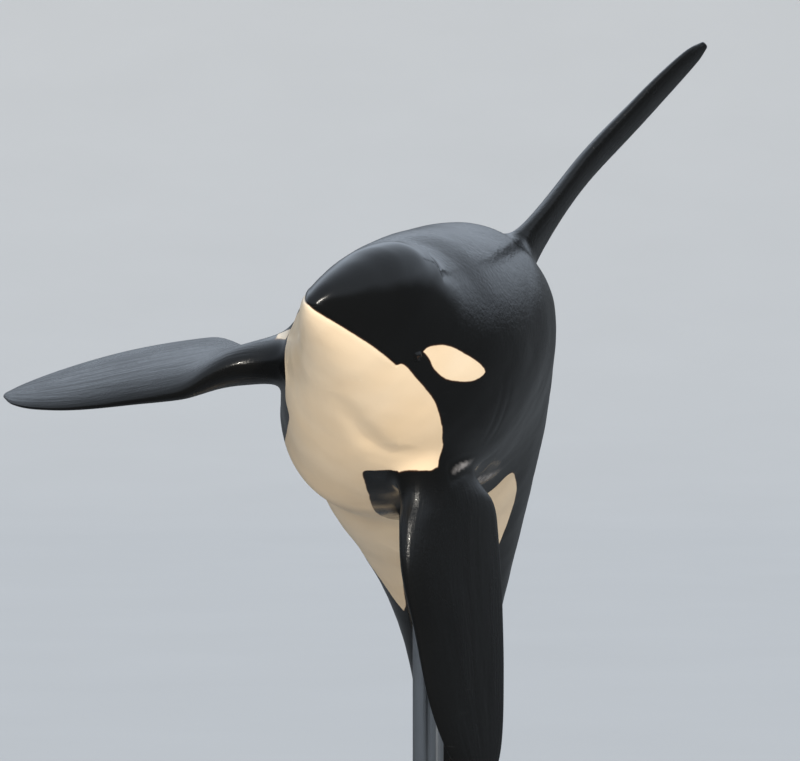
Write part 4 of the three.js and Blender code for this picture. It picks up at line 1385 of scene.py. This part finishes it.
def add_camera():
    right, up, back = view_directions()
    place = np.array(GIRTH_PLACE) - right * VIEW_SHIFT[0] - up * VIEW_SHIFT[1] + back * VIEW_DISTANCE
    data = bpy.data.cameras.new("view")
    data.lens = SENSOR_WIDTH * FOCAL_PIXELS / WIDTH_PIXELS
    data.sensor_width = SENSOR_WIDTH
    data.sensor_fit = "HORIZONTAL"
    data.clip_start = 1
    data.clip_end = 600
    camera = bpy.data.objects.new("view", data)
    bpy.context.scene.collection.objects.link(camera)
    matrix = Matrix([[*row] for row in np.column_stack([right, up, back])]).to_4x4()
    matrix.translation = Vector(place)
    camera.matrix_world = matrix
    bpy.context.scene.camera = camera


# A pale floor that rises in a wide curve to a rim far away
FLOOR_INNER = 20.0
FLOOR_RADIUS = 42.0
FLOOR_AROUND = 96
CURVE_RADIUS = 75.0
CURVE_TURN = 27
CURVE_STEPS = 18


def add_floor():
    profile = [(FLOOR_INNER, 0.0), (FLOOR_RADIUS, 0.0)]
    for k in range(1, CURVE_STEPS + 1):
        turn = math.radians(CURVE_TURN * k / CURVE_STEPS)
        profile.append((FLOOR_RADIUS + CURVE_RADIUS * math.sin(turn), CURVE_RADIUS * (1 - math.cos(turn))))
    points = [(0.0, 0.0, 0.0)]
    for radius, height in profile:
        for k in range(FLOOR_AROUND):
            turn = 2 * math.pi * k / FLOOR_AROUND
            points.append((radius * math.cos(turn), radius * math.sin(turn), height))
    faces = ring_faces(len(profile), FLOOR_AROUND)
    mesh = bpy.data.meshes.new("floor")
    mesh.from_pydata(points, [], faces)
    mesh.shade_smooth()
    floor = add_object("floor", mesh)
    set_material(floor, stage_material())
    floor.visible_glossy = False


def add_light(name, kind, place, aim, energy, color):
    data = bpy.data.lights.new(name, kind)
    data.energy = energy
    data.color = color
    light = bpy.data.objects.new(name, data)
    light.location = place
    light.rotation_euler = (Vector(place) - Vector(aim)).to_track_quat("Z", "Y").to_euler()
    bpy.context.scene.collection.objects.link(light)
    return light


# The sky over the studio: dim at the horizon, bright and bluish overhead
SKY_LOW = 0.02
SKY_HIGH = 0.36
HORIZON_COLOR = (0.10, 0.11, 0.12)
ZENITH_COLOR = (0.88, 1.00, 1.16)


def add_sky():
    world = bpy.data.worlds.new("studio")
    world.use_nodes = True
    nodes = world.node_tree.nodes
    links = world.node_tree.links
    split = nodes.new("ShaderNodeSeparateXYZ")
    links.new(nodes.new("ShaderNodeTexCoord").outputs["Generated"], split.inputs[0])
    rise = nodes.new("ShaderNodeMapRange")
    rise.interpolation_type = "SMOOTHSTEP"
    links.new(split.outputs["Z"], rise.inputs["Value"])
    rise.inputs["From Min"].default_value = SKY_LOW
    rise.inputs["From Max"].default_value = SKY_HIGH
    blend = nodes.new("ShaderNodeMix")
    blend.data_type = "RGBA"
    links.new(rise.outputs["Result"], blend.inputs["Factor"])
    blend.inputs[6].default_value = (*HORIZON_COLOR, 1)
    blend.inputs[7].default_value = (*ZENITH_COLOR, 1)
    links.new(blend.outputs[2], nodes["Background"].inputs["Color"])
    bpy.context.scene.world = world


# The key light, which the snout mirrors as a small glint, and a soft warm fill from below
KEY = {
    "direction": (0.36, -0.84, 0.41), "away": 20, "angle": 2.0, "power": 1.95, "color": (1.0, 0.94, 0.84),
}
FILL = {
    "place": (1.2, -14.0, 1.3), "size": (9.0, 2.4), "spread": 75, "power": 145, "color": (1.0, 0.93, 0.84),
}


def add_lights():
    aim = GIRTH_PLACE
    place = Vector(aim) + Vector(KEY["direction"]) * KEY["away"]
    key = add_light("key", "SUN", place, aim, KEY["power"], KEY["color"])
    key.data.angle = math.radians(KEY["angle"])
    fill = add_light("fill", "AREA", FILL["place"], aim, FILL["power"], FILL["color"])
    fill.data.shape = "RECTANGLE"
    fill.data.size, fill.data.size_y = FILL["size"]
    fill.data.spread = math.radians(FILL["spread"])
    fill.visible_glossy = False


add_camera()
add_floor()
add_sky()
add_lights()
bpy.context.scene.view_settings.view_transform = "Standard"
bpy.context.scene.view_settings.look = "None"
